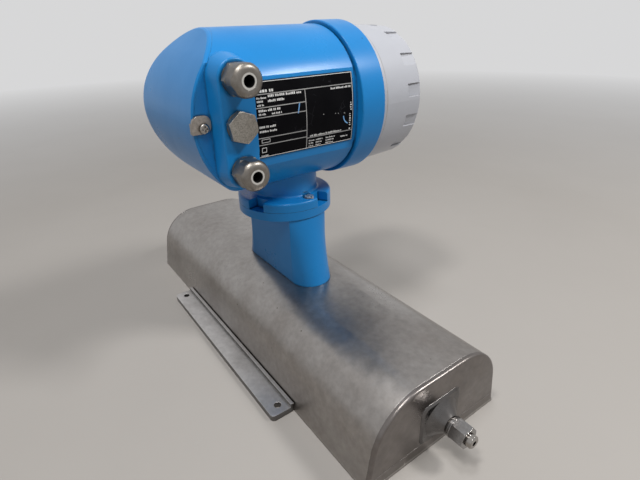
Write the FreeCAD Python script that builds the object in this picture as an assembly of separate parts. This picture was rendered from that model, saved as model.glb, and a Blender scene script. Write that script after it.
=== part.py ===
import FreeCAD, Part
import math
import os

# Coriolis mass flow meter, compact version: a flat stainless sensor casing that lies on its base,
# a painted pedestal on top of it, and a painted transmitter that turns on the pedestal.
# Millimetres. X runs along the pipe, Y points to the display side, Z is up.
# The origin is the middle of the base, on the surface that the casing rests on.

vec = FreeCAD.Vector

# Clearances and cutting margins
thread_clearance = 0.05
slide_clearance = 0.3
seat_clearance = 0.1
past = 1.0  # how far a cutter runs past the face that it cuts
touch = 0.01  # places closer than this count as one

# Sensor casing
casing_length = 438.0
casing_width = 150.5
casing_height = 75.0
base_plate_thickness = 3.0
hood_sheet = 2.0
side_lean = 9.0  # degrees
shoulder_radius = 46.0
end_plate_thickness = 4.0
end_edge_radius = 2.0
lead_hole_radius = 13.0

# Mounting bars along both long sides
bar_length = 240.0
bar_width = 22.3
bar_thickness = 6.0
bar_lip_width = 3.0
bar_lip_height = 3.5
bar_corner_radius = 4.0
bar_hole_radius = 3.3
bar_hole_from_end = 9.5
bar_hole_from_edge = 11.2

# Process ports, the same at both ends
port_height = 32.0
pad_width = 45.0
pad_height = 41.0
pad_rise = 1.5
pad_border = 2.4
pad_corner_radius = 8.0
reducer_length = 9.8
reducer_tip_wall = 1.0
reducer_hollow = 0.45  # share of its length and drop where the curve is deepest
nose_radius = 7.0
nose_length = 9.7
spigot_wall = 6.0
spigot_length = 14.0
socket_depth = 8.0
nut_gap = 1.6
nut_wall = 1.5
nut_collar_wall = 1.9
nut_collar_length = 2.4
nut_hex_length = 12.6
nut_chamfer = 1.2
nut_turn = 6.0  # degrees
face_seal_thickness = 1.0
face_seal_width = 2.5
stub_flange_thickness = 2.0
stub_flange_step = 1.0
stub_reach = 5.0
stub_tip_step = 0.6
stub_relief_width = 0.6
stub_relief_depth = 0.8
stub_chamfer = 0.9

# Measuring tube, one tube bent into a double loop
tube_radius = 3.0
tube_wall = 0.8
tube_side_room = 27.25
tube_end_room = 48.0
loop_end_slant = 31.0
lower_pass_rise = 12.0
pass_pitch = 13.0
bend_radius = 24.0

# Carrier, clamps and coils of the measuring tube
carrier_end_room = 69.0
carrier_side_room = 18.25
carrier_thickness = 5.0
clamp_setback = 22.0
clamp_thickness = 10.0
clamp_foot_height = 5.0
clamp_wall = 4.0
coil_block_size = 13.0
coil_radius = 6.5
coil_wall = 2.0
coil_height = 6.0
magnet_radius = 3.5
magnet_gap = 1.5
pickup_setback = 38.0
sensor_position = 40.0
sensor_length = 22.0
sensor_wall = 2.0
coil_board_length = 70.0
coil_board_width = 50.0
coil_board_rise = 10.0
board_thickness = 1.6
pillar_radius = 3.0
pillar_inset = 5.0
lead_radius = 2.5

# Pedestal and swivel
pedestal_height = 69.0
pedestal_half_width = 21.0
pedestal_foot_half_length = 62.0
pedestal_waist_half_length = 55.5
pedestal_waist_height = 27.0
hollow_corner_share = 0.6  # of the wall
flange_overhang = 1.5
pedestal_wall = 5.0
flange_radius = 46.8
flange_thickness = 8.3
swivel_spigot_radius = 24.0
swivel_spigot_wall = 6.0
swivel_rim = 1.1
feedthrough_thickness = 9.0
feedthrough_seat_width = 3.0
contact_radius = 1.2
contact_height = 5.0
contact_inset = 8.0
contact_count = 8
ring_thickness = 3.0
ring_depth = 1.5
ring_overhang = 3.0
neck_ledge_height = 15.7
swivel_seal_height = 3.0
swivel_seal_depth = 2.0

# Transmitter housing
body_radius = 68.0
body_wall = 5.0
neck_length = 22.4
neck_wall = 5.4
neck_ring_room = 0.6
neck_root_radius = 3.0
foot_thickness = 9.0
foot_edge_radius = 2.5
notch_count = 4
notch_bearing = 22.0  # degrees from the pipe axis
notch_width = 22.0  # degrees
notch_depth = 10.3
groove_start = 40.0
groove_width = 2.6
groove_depth = 2.2
collar_step = 3.0
collar_length = 26.4
collar_edge_radius = 1.2
collar_wall = 6.4
collar_bore_depth = 20.0
front_wall = 6.0
partition_front = -28.0
partition_thickness = 6.0
rear_most = -104.5
rear_lower_step = 6.5
rear_upper_step = 2.0
rear_crown_rise = 3.0

# Cable entries on the flat side wall
wall_setback = 18.0
entry_setback = -73.0
entry_rise = 1.5
entry_pitch = 34.0
entry_radius = 10.0
entry_pad_rise = 15.0
entry_pad_border = 4.0
entry_pad_flare = 3.2
entry_pad_root = 8.0
entry_pad_edge_radius = 1.5
washer_thickness = 1.5
washer_width = 1.0
stem_length = 13.0
gland_thread_step = 0.4
gland_hex_step = 1.4
gland_hex_height = 6.0
gland_thread_length = 7.5
gland_wall = 3.8
gland_nut_wall = 2.4
gland_nut_gap = 0.6
gland_nut_length = 12.6
gland_nut_flat_depth = 0.5
gland_dome_length = 5.5
dome_bulge_drop = 1.0
dome_bulge_setback = 1.65
gland_mouth_wall = 2.0
cable_seal_wall = 1.6
cable_seal_length = 9.0
plug_hex_step = 0.9
plug_head_height = 5.0
plug_turn = 41.0  # degrees
hex_chamfer = 1.2

# Rear terminal cover, its seal and its clamp
cover_thickness = 2.4
cover_edge_chamfer = 1.0
cover_seal_thickness = 1.5
cover_seal_inset = 1.6
cover_seal_width = 1.8
clamp_height = 13.4
clamp_plate = 2.0
clamp_corner_radius = 5.5
clamp_lip = 3.2
clamp_lip_plate = 0.8
clamp_screw_radius = 2.0
clamp_screw_from_edge = 8.0
clamp_screw_drop = 1.7
clamp_screw_rise = 3.9
clamp_head_radius = 3.9
clamp_head_height = 2.6
clamp_head_rounding = 1.5
clamp_screw_length = 4.5
cross_reach = 2.3

# Screws that lock the swivel
lock_screw_count = 2
lock_screw_bearing = 7.0  # degrees
lock_screw_inset = 8.8
lock_recess_radius = 6.5
lock_recess_depth = 2.4
lock_recess_rise = 4.0  # how far the recess is cut up into the neck's root
lock_head_radius = 4.4
lock_head_height = 3.2
lock_shank_radius = 2.5
slot_width = 1.3
slot_depth = 1.2

# Nameplate
plate_pad_gap = 0.5
plate_groove_gap = 2.5
plate_bottom = -27.0
plate_top = 31.7
plate_thickness = 0.8
plate_corner_radius = 1.8
plate_seat_drop = 5.35  # from the body's round down to the crown of the seat
plate_seat_radius = 149.2
plate_seat_wall = 4.2

# Front cover with its window
lid_skirt_length = 14.0
lid_skirt_wall = 7.55
lid_step = 3.4
lid_bead_length = 5.0
lid_bead_height = 1.0
lid_taper = 2.1
lid_length = 53.0
lid_edge_radius = 3.0
lid_end_wall = 7.0
lid_seal_setback = 3.0
lid_seal_height = 2.0
lid_seal_depth = 1.8
grip_count = 14
grip_width = 10.6  # degrees
grip_depth = 1.3
grip_length = 18.5
grip_bearing = 33.9  # degrees
window_step = 6.0
window_overlap = 5.0
window_thickness = 6.0
window_seal_thickness = 1.0
window_ring_thickness = 4.0
window_ring_width = 10.0

# Electronics
stack_side_room = 23.0
stack_board_chamfer = 8.0
stack_post_inset = 9.0
stack_post_radius = 4.0
stack_part_gap = 1.0
stack_first_gap = 16.0
stack_second_gap = 22.0
stack_third_gap = 22.0
stack_display_gap = 32.0
display_room = 8.0
display_thickness = 18.0
display_screen_width = 64.0
display_screen_height = 36.0
display_screen_depth = 1.5
display_screen_rise = 8.0
key_radius = 5.0
key_depth = 1.0
key_pitch = 20.0
key_drop = 30.0
terminal_side_room = 12.0
terminal_depth = 14.0
terminal_row_height = 16.0
terminal_row_pitch = 30.0
terminal_base_thickness = 4.0
terminal_count = 6
terminal_hole_radius = 2.5

# Places in the sensor, worked out from the sizes above
casing_end = casing_length / 2
base_edge = casing_width / 2
bar_hole_spacing = bar_length - 2 * bar_hole_from_end
reducer_root_radius = pad_height / 2 - pad_border
reducer_tip_radius = nose_radius + reducer_tip_wall
stub_radius = nose_radius - stub_flange_step
stub_tip_radius = stub_radius - stub_tip_step
spigot_radius = tube_radius + spigot_wall
nut_flats = 2 * (nose_radius + nut_wall)
nut_collar_radius = nose_radius + nut_collar_wall
pad_face = casing_end + pad_rise
reducer_end = pad_face + reducer_length
nose_end = reducer_end + nose_length
seal_end = nose_end + face_seal_thickness
stub_flange_end = seal_end + stub_flange_thickness
nut_start = reducer_end + nut_gap
nut_hex_start = nut_start + nut_collar_length
nut_end = nut_hex_start + nut_hex_length
stub_end = nut_end + stub_reach
spigot_end = casing_end - end_plate_thickness - spigot_length
tube_start = spigot_end + socket_depth
tube_bore_radius = tube_radius - tube_wall
loop_half_width = base_edge - tube_side_room
loop_end = casing_end - tube_end_room
loop_half_length = loop_end - loop_end_slant
carrier_top = base_plate_thickness + carrier_thickness
lower_pass_height = carrier_top + lower_pass_rise
return_pass_height = lower_pass_height + pass_pitch
upper_pass_height = return_pass_height + pass_pitch
clamp_position = loop_half_length - clamp_setback
pickup_position = clamp_position - pickup_setback
coil_top = lower_pass_height + coil_block_size / 2 + coil_height
coil_bore_radius = coil_radius - coil_wall
coil_board_bottom = carrier_top + coil_board_rise
coil_board_top = coil_board_bottom + board_thickness

# Places in the pedestal and the swivel
flange_bottom = casing_height + pedestal_height
pedestal_top_half_length = flange_radius - flange_overhang
pedestal_corner = math.sqrt(pedestal_top_half_length ** 2 - pedestal_half_width ** 2)
flange_top = flange_bottom + flange_thickness
feedthrough_bottom = flange_top - feedthrough_thickness / 2
swivel_spigot_bore = swivel_spigot_radius - swivel_spigot_wall
contact_circle = swivel_spigot_bore - contact_inset
foot_bottom = flange_top + slide_clearance
foot_top = foot_bottom + foot_thickness
foot_radius = flange_radius
ledge_top = foot_bottom + neck_ledge_height
ring_bottom = ledge_top + slide_clearance
ring_radius = swivel_spigot_radius + ring_overhang
spigot_top = ring_bottom + ring_thickness + seat_clearance + swivel_rim
neck_bore_radius = ring_radius + neck_ring_room
neck_radius = neck_bore_radius + neck_wall
notch_inner_radius = foot_radius - notch_depth
lock_screw_circle = foot_radius - lock_screw_inset
lock_seat = foot_top - lock_recess_depth

# Places in the transmitter
axis_height = foot_bottom + body_radius + neck_length
cutter_reach = 2 * body_radius
collar_start = groove_start + groove_width
collar_end = collar_start + collar_length
collar_radius = body_radius + collar_step
collar_bore_radius = collar_radius - collar_wall
front_cavity_radius = body_radius - front_wall
partition_rear = partition_front - partition_thickness
rear_lower_radius = body_radius + rear_lower_step
rear_upper_radius = body_radius + rear_upper_step
cover_slope_top = rear_most + (1 - math.sqrt(2)) * rear_upper_radius + body_radius - rear_crown_rise
cover_seal_depth = cover_thickness + cover_seal_thickness
cover_seam = cover_slope_top - cover_seal_inset + math.sqrt(2) * cover_seal_depth + slide_clearance
wall_plane = body_radius - wall_setback
entry_heights = [axis_height + entry_rise + entry_pitch * step for step in (1, 0, -1)]
entry_pad_face = wall_plane + entry_pad_rise
entry_pad_face_radius = entry_radius + entry_pad_border
entry_pad_foot_radius = entry_pad_face_radius + entry_pad_flare
spot_face_front = entry_setback + entry_pad_face_radius
washer_end = entry_pad_face + washer_thickness
gland_thread_radius = entry_radius - gland_thread_step
gland_flats = 2 * (gland_thread_radius + gland_hex_step)
gland_bore_radius = gland_thread_radius - gland_wall
gland_nut_radius = gland_thread_radius + gland_nut_wall
gland_mouth_radius = gland_bore_radius + gland_mouth_wall
cable_bore_radius = gland_bore_radius - cable_seal_wall
gland_hex_end = washer_end + gland_hex_height
gland_nut_start = gland_hex_end + gland_nut_gap
gland_nut_end = gland_nut_start + gland_nut_length
plug_flats = 2 * (entry_radius + plug_hex_step)
clamp_end = entry_setback - entry_pad_foot_radius - slide_clearance
clamp_screw_y = rear_most + clamp_screw_from_edge
clamp_screw_z = axis_height + rear_crown_rise - clamp_screw_drop
plate_rear = spot_face_front + plate_pad_gap
plate_front = groove_start - plate_groove_gap
plate_seat_crown = body_radius - plate_seat_drop
plate_seat_centre = (plate_seat_crown - plate_seat_radius, axis_height)
plate_backing = plate_seat_crown - plate_seat_wall

# Places in the front cover and the electronics
lid_start = collar_end + slide_clearance
lid_end = lid_start + lid_length
lid_shoulder_radius = collar_radius - lid_step
lid_body_radius = lid_shoulder_radius - lid_bead_height
lid_end_radius = lid_body_radius - lid_taper
skirt_radius = collar_bore_radius - thread_clearance
skirt_end = lid_start - lid_skirt_length
lid_bore_radius = skirt_radius - lid_skirt_wall
window_radius = lid_bore_radius - window_step
window_opening_radius = window_radius - window_overlap
window_seat = lid_end - lid_end_wall
window_front = window_seat - window_seal_thickness
window_back = window_front - window_thickness
window_ring_start = window_back - window_ring_thickness
stack_board_half = front_cavity_radius - stack_side_room
stack_post_offset = stack_board_half - stack_post_inset
stack_field = stack_post_offset - stack_post_radius - stack_part_gap
first_board = partition_front + stack_first_gap
second_board = first_board + board_thickness + stack_second_gap
third_board = second_board + board_thickness + stack_third_gap
display_start = third_board + board_thickness + stack_display_gap
display_radius = lid_bore_radius - display_room
terminal_half_width = wall_plane - body_wall - terminal_side_room


# Shape helpers: a place is given along one axis, and across it by the other two coordinates in order

def place(axis, along, across):
    first, second = across
    if axis == "X":
        return vec(along, first, second)
    if axis == "Y":
        return vec(first, along, second)
    return vec(first, second, along)


def direction(axis, length=1.0):
    return place(axis, length, (0.0, 0.0))


def rod(radius, start, end, axis="Z", centre=(0.0, 0.0)):
    return Part.makeCylinder(radius, end - start, place(axis, start, centre), direction(axis))


def sleeve(outer, inner, start, end, axis="Z", centre=(0.0, 0.0)):
    return rod(outer, start, end, axis, centre).cut(rod(inner, start, end, axis, centre))


def block(low, high):
    size = [top - bottom for bottom, top in zip(low, high)]
    return Part.makeBox(size[0], size[1], size[2], vec(*low))


def hexagon(flats, start, end, axis, centre, turn=0.0):
    corner_radius = flats / 2 / math.cos(math.pi / 6)
    corners = []
    for step in range(7):
        angle = math.radians(60 * step + turn)
        across = (centre[0] + corner_radius * math.cos(angle), centre[1] + corner_radius * math.sin(angle))
        corners.append(place(axis, start, across))
    return Part.Face(Part.makePolygon(corners)).extrude(direction(axis, end - start))


def turned(profile, axis, centre):
    corners = [place(axis, along, (centre[0] + radius, centre[1])) for along, radius in profile]
    corners.append(corners[0])
    face = Part.Face(Part.makePolygon(corners))
    return face.revolve(place(axis, 0.0, centre), direction(axis), 360)


def chamfered_hexagon(flats, chamfer, start, end, axis, centre, turn, both_ends):
    corner_radius = flats / 2 / math.cos(math.pi / 6)
    start_cut = chamfer if both_ends else 0.0
    envelope = [(start, 0), (start, corner_radius - start_cut), (start + start_cut, corner_radius)]
    envelope += [(end - chamfer / 2, corner_radius), (end, corner_radius - chamfer), (end, 0)]
    if not both_ends:
        envelope.pop(1)
    return hexagon(flats, start, end, axis, centre, turn).common(turned(envelope, axis, centre))


def fused(shapes):
    result = shapes[0].multiFuse(shapes[1:])
    return result.removeSplitter()


def wire_of(pieces):
    return Part.Wire([piece.toShape() for piece in pieces])


def arc_about(centre, radius, angles, point_at):
    points = []
    for angle in (angles[0], (angles[0] + angles[1]) / 2, angles[1]):
        turn = math.radians(angle)
        points.append(point_at(centre[0] + radius * math.cos(turn), centre[1] + radius * math.sin(turn)))
    return Part.Arc(*points)


def rounded_rectangle(x, y_range, z_range, radius):
    def point_at(y, z):
        return vec(x, y, z)
    y_low, y_high = y_range[0] + radius, y_range[1] - radius
    z_low, z_high = z_range[0] + radius, z_range[1] - radius
    centres = [(y_high, z_high), (y_low, z_high), (y_low, z_low), (y_high, z_low)]
    arcs = [arc_about(centre, radius, (90 * n, 90 * n + 90), point_at) for n, centre in enumerate(centres)]
    pieces = []
    for n, arc in enumerate(arcs):
        pieces.append(arc)
        pieces.append(Part.LineSegment(arc.EndPoint, arcs[(n + 1) % 4].StartPoint))
    return wire_of(pieces)


def obround(x, y, z_low, z_high, radius):
    def point_at(first, second):
        return vec(x, first, second)
    top = arc_about((y, z_high), radius, (0, 180), point_at)
    bottom = arc_about((y, z_low), radius, (180, 360), point_at)
    left = Part.LineSegment(top.EndPoint, bottom.StartPoint)
    right = Part.LineSegment(bottom.EndPoint, top.StartPoint)
    return wire_of([top, left, bottom, right])


def bowed_section(z, corner, half_length, half_width):
    near = Part.Arc(vec(corner, -half_width, z), vec(half_length, 0, z), vec(corner, half_width, z))
    far = Part.Arc(vec(-corner, half_width, z), vec(-half_length, 0, z), vec(-corner, -half_width, z))
    back = Part.LineSegment(near.EndPoint, far.StartPoint)
    front = Part.LineSegment(far.EndPoint, near.StartPoint)
    return wire_of([near, back, far, front])


def rounded_path(points, radius):
    edges = []
    start = points[0]
    for before, corner, after in zip(points, points[1:], points[2:]):
        incoming = (corner - before).normalize()
        outgoing = (after - corner).normalize()
        half_turn = incoming.getAngle(outgoing) / 2
        reach = radius * math.tan(half_turn)
        depth = radius / math.cos(half_turn) - radius
        inward = (outgoing - incoming).normalize()
        arc_start = corner - incoming * reach
        arc_end = corner + outgoing * reach
        edges.append(Part.LineSegment(start, arc_start).toShape())
        edges.append(Part.Arc(arc_start, corner + inward * depth, arc_end).toShape())
        start = arc_end
    edges.append(Part.LineSegment(start, points[-1]).toShape())
    return Part.Wire(edges)


def mirrored(shape, normal):
    return shape.mirror(vec(0, 0, 0), normal)


# Sensor casing

def hood_section(x, inset, bottom):
    def point_at(y, z):
        return vec(x, y, z)
    lean = math.radians(side_lean)
    radius = shoulder_radius - inset
    centre_z = casing_height - shoulder_radius
    foot_shift = base_edge * math.cos(lean) + base_plate_thickness * math.sin(lean)
    centre_y = (foot_shift - shoulder_radius - centre_z * math.sin(lean)) / math.cos(lean)
    foot_y = base_edge - (bottom - base_plate_thickness) * math.tan(lean) - inset / math.cos(lean)
    right = arc_about((centre_y, centre_z), radius, (side_lean, 90), point_at)
    left = arc_about((-centre_y, centre_z), radius, (90, 180 - side_lean), point_at)
    right_side = Part.LineSegment(point_at(foot_y, bottom), right.StartPoint)
    top = Part.LineSegment(right.EndPoint, left.StartPoint)
    left_side = Part.LineSegment(left.EndPoint, point_at(-foot_y, bottom))
    floor = Part.LineSegment(point_at(-foot_y, bottom), point_at(foot_y, bottom))
    return Part.Face(wire_of([right_side, right, top, left, left_side, floor]))


def make_base_plate():
    return block((-casing_end, -base_edge, 0), (casing_end, base_edge, base_plate_thickness))


def make_hood():
    half_length = casing_end - end_plate_thickness
    along = direction("X", 2 * half_length)
    outer = hood_section(-half_length, 0.0, base_plate_thickness).extrude(along)
    inner = hood_section(-half_length, hood_sheet, base_plate_thickness).extrude(along)
    lead_hole = rod(lead_hole_radius, casing_height - 2 * hood_sheet, casing_height + hood_sheet)
    return outer.cut(inner).cut(lead_hole)


def make_end_plate():
    start = casing_end - end_plate_thickness
    plate = hood_section(start, 0.0, base_plate_thickness).extrude(direction("X", end_plate_thickness))
    rim = []
    for edge in plate.Edges:
        box = edge.BoundBox
        if box.XMin > casing_end - touch and box.ZMax > base_plate_thickness + touch:
            rim.append(edge)
    plate = plate.makeFillet(end_edge_radius, rim)
    hole = rod(spigot_radius + seat_clearance, start - past, casing_end + past, "X", (0.0, port_height))
    return plate.cut(hole)


def make_mounting_bar():
    inner_edge = -base_edge
    outer_edge = inner_edge - bar_width
    lip_edge = inner_edge - bar_lip_width
    lip_top = bar_thickness + bar_lip_height
    half_length = bar_length / 2
    flat = block((-half_length, outer_edge, 0), (half_length, inner_edge, bar_thickness))
    lip = block((-half_length, lip_edge, 0), (half_length, inner_edge, lip_top))
    bar = fused([flat, lip])
    corners = []
    for edge in bar.Edges:
        box = edge.BoundBox
        if box.YMax < outer_edge + touch and box.ZLength > bar_thickness / 2:
            corners.append(edge)
    bar = bar.makeFillet(bar_corner_radius, corners)
    for side in (-1, 1):
        hole_centre = (side * bar_hole_spacing / 2, inner_edge - bar_hole_from_edge)
        bar = bar.cut(rod(bar_hole_radius, -past, lip_top, "Z", hole_centre))
    return bar


# Process ports

def make_port():
    centre = (0.0, port_height)
    half_width, half_height = pad_width / 2, pad_height / 2
    y_range = (-half_width, half_width)
    z_range = (port_height - half_height, port_height + half_height)
    inner_y = (y_range[0] + pad_border, y_range[1] - pad_border)
    inner_z = (z_range[0] + pad_border, z_range[1] - pad_border)
    foot = rounded_rectangle(casing_end, y_range, z_range, pad_corner_radius)
    face = rounded_rectangle(pad_face, inner_y, inner_z, pad_corner_radius - pad_border / 2)
    pad = Part.makeLoft([foot, face], True, True)
    drop = reducer_root_radius - reducer_tip_radius
    root = vec(pad_face, 0, port_height + reducer_root_radius)
    tip = vec(reducer_end, 0, port_height + reducer_tip_radius)
    hollow = vec(pad_face + reducer_hollow * reducer_length, 0, tip.z + reducer_hollow * drop)
    foot_centre = vec(casing_end, 0, port_height)
    tip_centre = vec(reducer_end, 0, port_height)
    foot_rim = vec(casing_end, 0, root.z)
    outline = [Part.LineSegment(foot_centre, foot_rim), Part.LineSegment(foot_rim, root)]
    outline += [Part.Arc(root, hollow, tip), Part.LineSegment(tip, tip_centre)]
    outline.append(Part.LineSegment(tip_centre, foot_centre))
    reducer = Part.Face(wire_of(outline)).revolve(foot_centre, direction("X"), 360)
    nose = rod(nose_radius, reducer_end, nose_end, "X", centre)
    spigot = rod(spigot_radius, spigot_end, casing_end, "X", centre)
    body = fused([pad, reducer, nose, spigot])
    socket = rod(tube_radius + seat_clearance, spigot_end - past, tube_start, "X", centre)
    bore = rod(tube_bore_radius, spigot_end, nose_end + past, "X", centre)
    return body.cut(socket).cut(bore)


def make_port_nut():
    centre = (0.0, port_height)
    collar = rod(nut_collar_radius, nut_start, nut_hex_start, "X", centre)
    flats = chamfered_hexagon(nut_flats, nut_chamfer, nut_hex_start, nut_end, "X", centre, nut_turn, True)
    thread_end = stub_flange_end + seat_clearance
    thread = rod(nose_radius + thread_clearance, nut_start - past, thread_end, "X", centre)
    mouth = rod(stub_radius + thread_clearance, nut_start, nut_end + past, "X", centre)
    return fused([collar, flats]).cut(thread).cut(mouth)


def make_port_seal():
    outer = nose_radius - slide_clearance
    inner = nose_radius - face_seal_width
    return sleeve(outer, inner, nose_end, seal_end, "X", (0.0, port_height))


def make_port_stub():
    profile = [(seal_end, tube_bore_radius), (seal_end, nose_radius), (stub_flange_end, nose_radius)]
    relief_end = nut_end + stub_relief_width
    relief_radius = stub_tip_radius - stub_relief_depth
    profile += [(stub_flange_end, stub_radius), (nut_end, stub_radius), (nut_end, relief_radius)]
    profile += [(relief_end, relief_radius), (relief_end, stub_tip_radius)]
    profile += [(stub_end - stub_chamfer, stub_tip_radius), (stub_end, stub_tip_radius - stub_chamfer)]
    profile.append((stub_end, tube_bore_radius))
    return turned(profile, "X", (0.0, port_height))


# Measuring tube and what hangs on it

def make_measuring_tube():
    route = [
        vec(tube_start, 0, port_height),
        vec(loop_end, 0, port_height),
        vec(loop_half_length, loop_half_width, lower_pass_height),
        vec(-loop_half_length, loop_half_width, lower_pass_height),
        vec(-loop_end, 0, lower_pass_height + tube_radius),
        vec(-loop_half_length, -loop_half_width, return_pass_height),
        vec(loop_half_length, -loop_half_width, return_pass_height),
        vec(loop_end, 0, upper_pass_height),
        vec(loop_half_length, loop_half_width, upper_pass_height),
        vec(-loop_half_length, loop_half_width, upper_pass_height),
        vec(-loop_end, 0, port_height),
        vec(-tube_start, 0, port_height),
    ]
    path = rounded_path(route, bend_radius)
    circles = []
    for radius in (tube_radius, tube_bore_radius):
        circle = Part.Circle(route[0], direction("X"), radius)
        circles.append(Part.Wire([circle.toShape()]))
    outer, inner = [path.makePipeShell([circle], True, False) for circle in circles]
    tube = outer.cut(inner)
    expected = math.pi * (tube_radius ** 2 - tube_bore_radius ** 2) * path.Length
    print("measuring tube length %.1f, volume %.0f of %.0f expected" % (path.Length, tube.Volume, expected))
    return tube


def make_carrier():
    half_length, half_width = casing_end - carrier_end_room, base_edge - carrier_side_room
    return block((-half_length, -half_width, base_plate_thickness), (half_length, half_width, carrier_top))


def make_tube_clamp():
    start, end = clamp_position - clamp_thickness / 2, clamp_position + clamp_thickness / 2
    half_post = tube_radius + clamp_wall
    foot_top_height = carrier_top + clamp_foot_height
    foot_reach = loop_half_width + half_post
    foot = block((start, -foot_reach, carrier_top), (end, foot_reach, foot_top_height))
    double_post = block((start, loop_half_width - half_post, carrier_top),
                        (end, loop_half_width + half_post, upper_pass_height + half_post))
    single_post = block((start, -loop_half_width - half_post, carrier_top),
                        (end, -loop_half_width + half_post, return_pass_height + half_post))
    clamp = fused([foot, double_post, single_post])
    passes = [(loop_half_width, lower_pass_height), (loop_half_width, upper_pass_height)]
    passes.append((-loop_half_width, return_pass_height))
    for centre in passes:
        clamp = clamp.cut(tube_hole(start, end, centre))
    return clamp


def tube_hole(start, end, centre):
    return rod(tube_radius + seat_clearance, start - past, end + past, "X", centre)


def make_coil(x):
    half = coil_block_size / 2
    saddle = block((x - half, loop_half_width - half, lower_pass_height - half),
                   (x + half, loop_half_width + half, lower_pass_height + half))
    centre = (x, loop_half_width)
    winding = rod(coil_radius, lower_pass_height + half, coil_top, "Z", centre)
    hole = tube_hole(x - half, x + half, (loop_half_width, lower_pass_height))
    well = rod(coil_bore_radius, lower_pass_height + half, coil_top + past, "Z", centre)
    return fused([saddle, winding]).cut(hole).cut(well)


def make_magnet(x):
    half = coil_block_size / 2
    saddle = block((x - half, loop_half_width - half, upper_pass_height - half),
                   (x + half, loop_half_width + half, upper_pass_height + half))
    bar = rod(magnet_radius, coil_top + magnet_gap, upper_pass_height - half, "Z", (x, loop_half_width))
    return fused([saddle, bar]).cut(tube_hole(x - half, x + half, (loop_half_width, upper_pass_height)))


def make_temperature_sensor():
    half = tube_radius + sensor_wall
    start, end = sensor_position - sensor_length / 2, sensor_position + sensor_length / 2
    shell = block((start, -loop_half_width - half, return_pass_height - half),
                  (end, -loop_half_width + half, return_pass_height + half))
    return shell.cut(tube_hole(start, end, (-loop_half_width, return_pass_height)))


def make_coil_board():
    half_length, half_width = coil_board_length / 2, coil_board_width / 2
    return block((-half_length, -half_width, coil_board_bottom), (half_length, half_width, coil_board_top))


def make_coil_board_pillars():
    x = coil_board_length / 2 - pillar_inset
    y = coil_board_width / 2 - pillar_inset
    centres = [(x, y), (-x, y), (-x, -y), (x, -y)]
    return Part.makeCompound([rod(pillar_radius, carrier_top, coil_board_bottom, "Z", c) for c in centres])


def make_signal_lead():
    return rod(lead_radius, coil_board_top, feedthrough_bottom)


# Pedestal and swivel

def pedestal_loft(inset, bottom):
    waist = casing_height + pedestal_waist_height
    half_lengths = [(bottom, pedestal_foot_half_length), (waist, pedestal_waist_half_length)]
    half_lengths.append((flange_bottom, pedestal_top_half_length))
    corner = pedestal_corner - hollow_corner_share * inset
    sections = []
    for height, half_length in half_lengths:
        sections.append(bowed_section(height, corner, half_length - inset, pedestal_half_width - inset))
    return Part.makeLoft(sections, True, False)


def make_pedestal():
    column = pedestal_loft(0.0, casing_height)
    hollow = pedestal_loft(pedestal_wall, casing_height)
    flange = rod(flange_radius, flange_bottom, flange_top)
    spigot = rod(swivel_spigot_radius, flange_bottom, spigot_top)
    body = fused([column.cut(hollow), flange, spigot])
    lead_way = swivel_spigot_bore - feedthrough_seat_width
    body = body.cut(rod(lead_way, flange_bottom - past, feedthrough_bottom))
    body = body.cut(rod(swivel_spigot_bore, feedthrough_bottom, spigot_top + past))
    ring_groove = sleeve(swivel_spigot_radius + past, swivel_spigot_radius - ring_depth,
                         ring_bottom, ring_bottom + ring_thickness + seat_clearance)
    seal_middle = (foot_bottom + ledge_top) / 2
    seal_groove = sleeve(swivel_spigot_radius + past, swivel_spigot_radius - swivel_seal_depth,
                         seal_middle - swivel_seal_height / 2, seal_middle + swivel_seal_height / 2)
    return body.cut(ring_groove).cut(seal_groove)


def make_retaining_ring():
    inner = swivel_spigot_radius - ring_depth + seat_clearance
    top = ring_bottom + ring_thickness
    ring = sleeve(ring_radius, inner, ring_bottom, top)
    gap = block((0, -ring_overhang, ring_bottom), (2 * ring_radius, ring_overhang, top))
    return ring.cut(gap)


def make_swivel_seal():
    middle = (foot_bottom + ledge_top) / 2
    half = swivel_seal_height / 2 - seat_clearance
    inner = swivel_spigot_radius - swivel_seal_depth + seat_clearance
    return sleeve(swivel_spigot_radius, inner, middle - half, middle + half)


def make_feedthrough():
    top = feedthrough_bottom + feedthrough_thickness
    disc = rod(swivel_spigot_bore - seat_clearance, feedthrough_bottom, top)
    pins = []
    for step in range(contact_count):
        angle = 2 * math.pi * step / contact_count
        centre = (contact_circle * math.cos(angle), contact_circle * math.sin(angle))
        pins.append(rod(contact_radius, top, top + contact_height, "Z", centre))
    return fused([disc] + pins)


# Transmitter housing

def side_profile(inset):
    def point_at(y, z):
        return vec(-cutter_reach, y, z)
    centre_z = axis_height + rear_crown_rise
    lower_centre = (rear_most + rear_lower_radius, centre_z)
    upper_centre = (rear_most + rear_upper_radius, centre_z)
    lower = arc_about(lower_centre, rear_lower_radius - inset, (270, 180), point_at)
    upper = arc_about(upper_centre, rear_upper_radius - inset, (180, 135), point_at)
    ceiling = axis_height + cutter_reach
    floor = axis_height - cutter_reach
    front = collar_start
    slope_start = upper.EndPoint
    slope_end = point_at(slope_start.y + ceiling - slope_start.z, ceiling)
    front_top = point_at(front, ceiling)
    front_bottom = point_at(front, floor)
    rear_bottom = point_at(lower_centre[0], floor)
    pieces = [lower, upper, Part.LineSegment(slope_start, slope_end), Part.LineSegment(slope_end, front_top)]
    pieces.append(Part.LineSegment(front_top, front_bottom))
    pieces.append(Part.LineSegment(front_bottom, rear_bottom))
    pieces.append(Part.LineSegment(rear_bottom, lower.StartPoint))
    return Part.Face(wire_of(pieces)).extrude(direction("X", 2 * cutter_reach))


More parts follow.
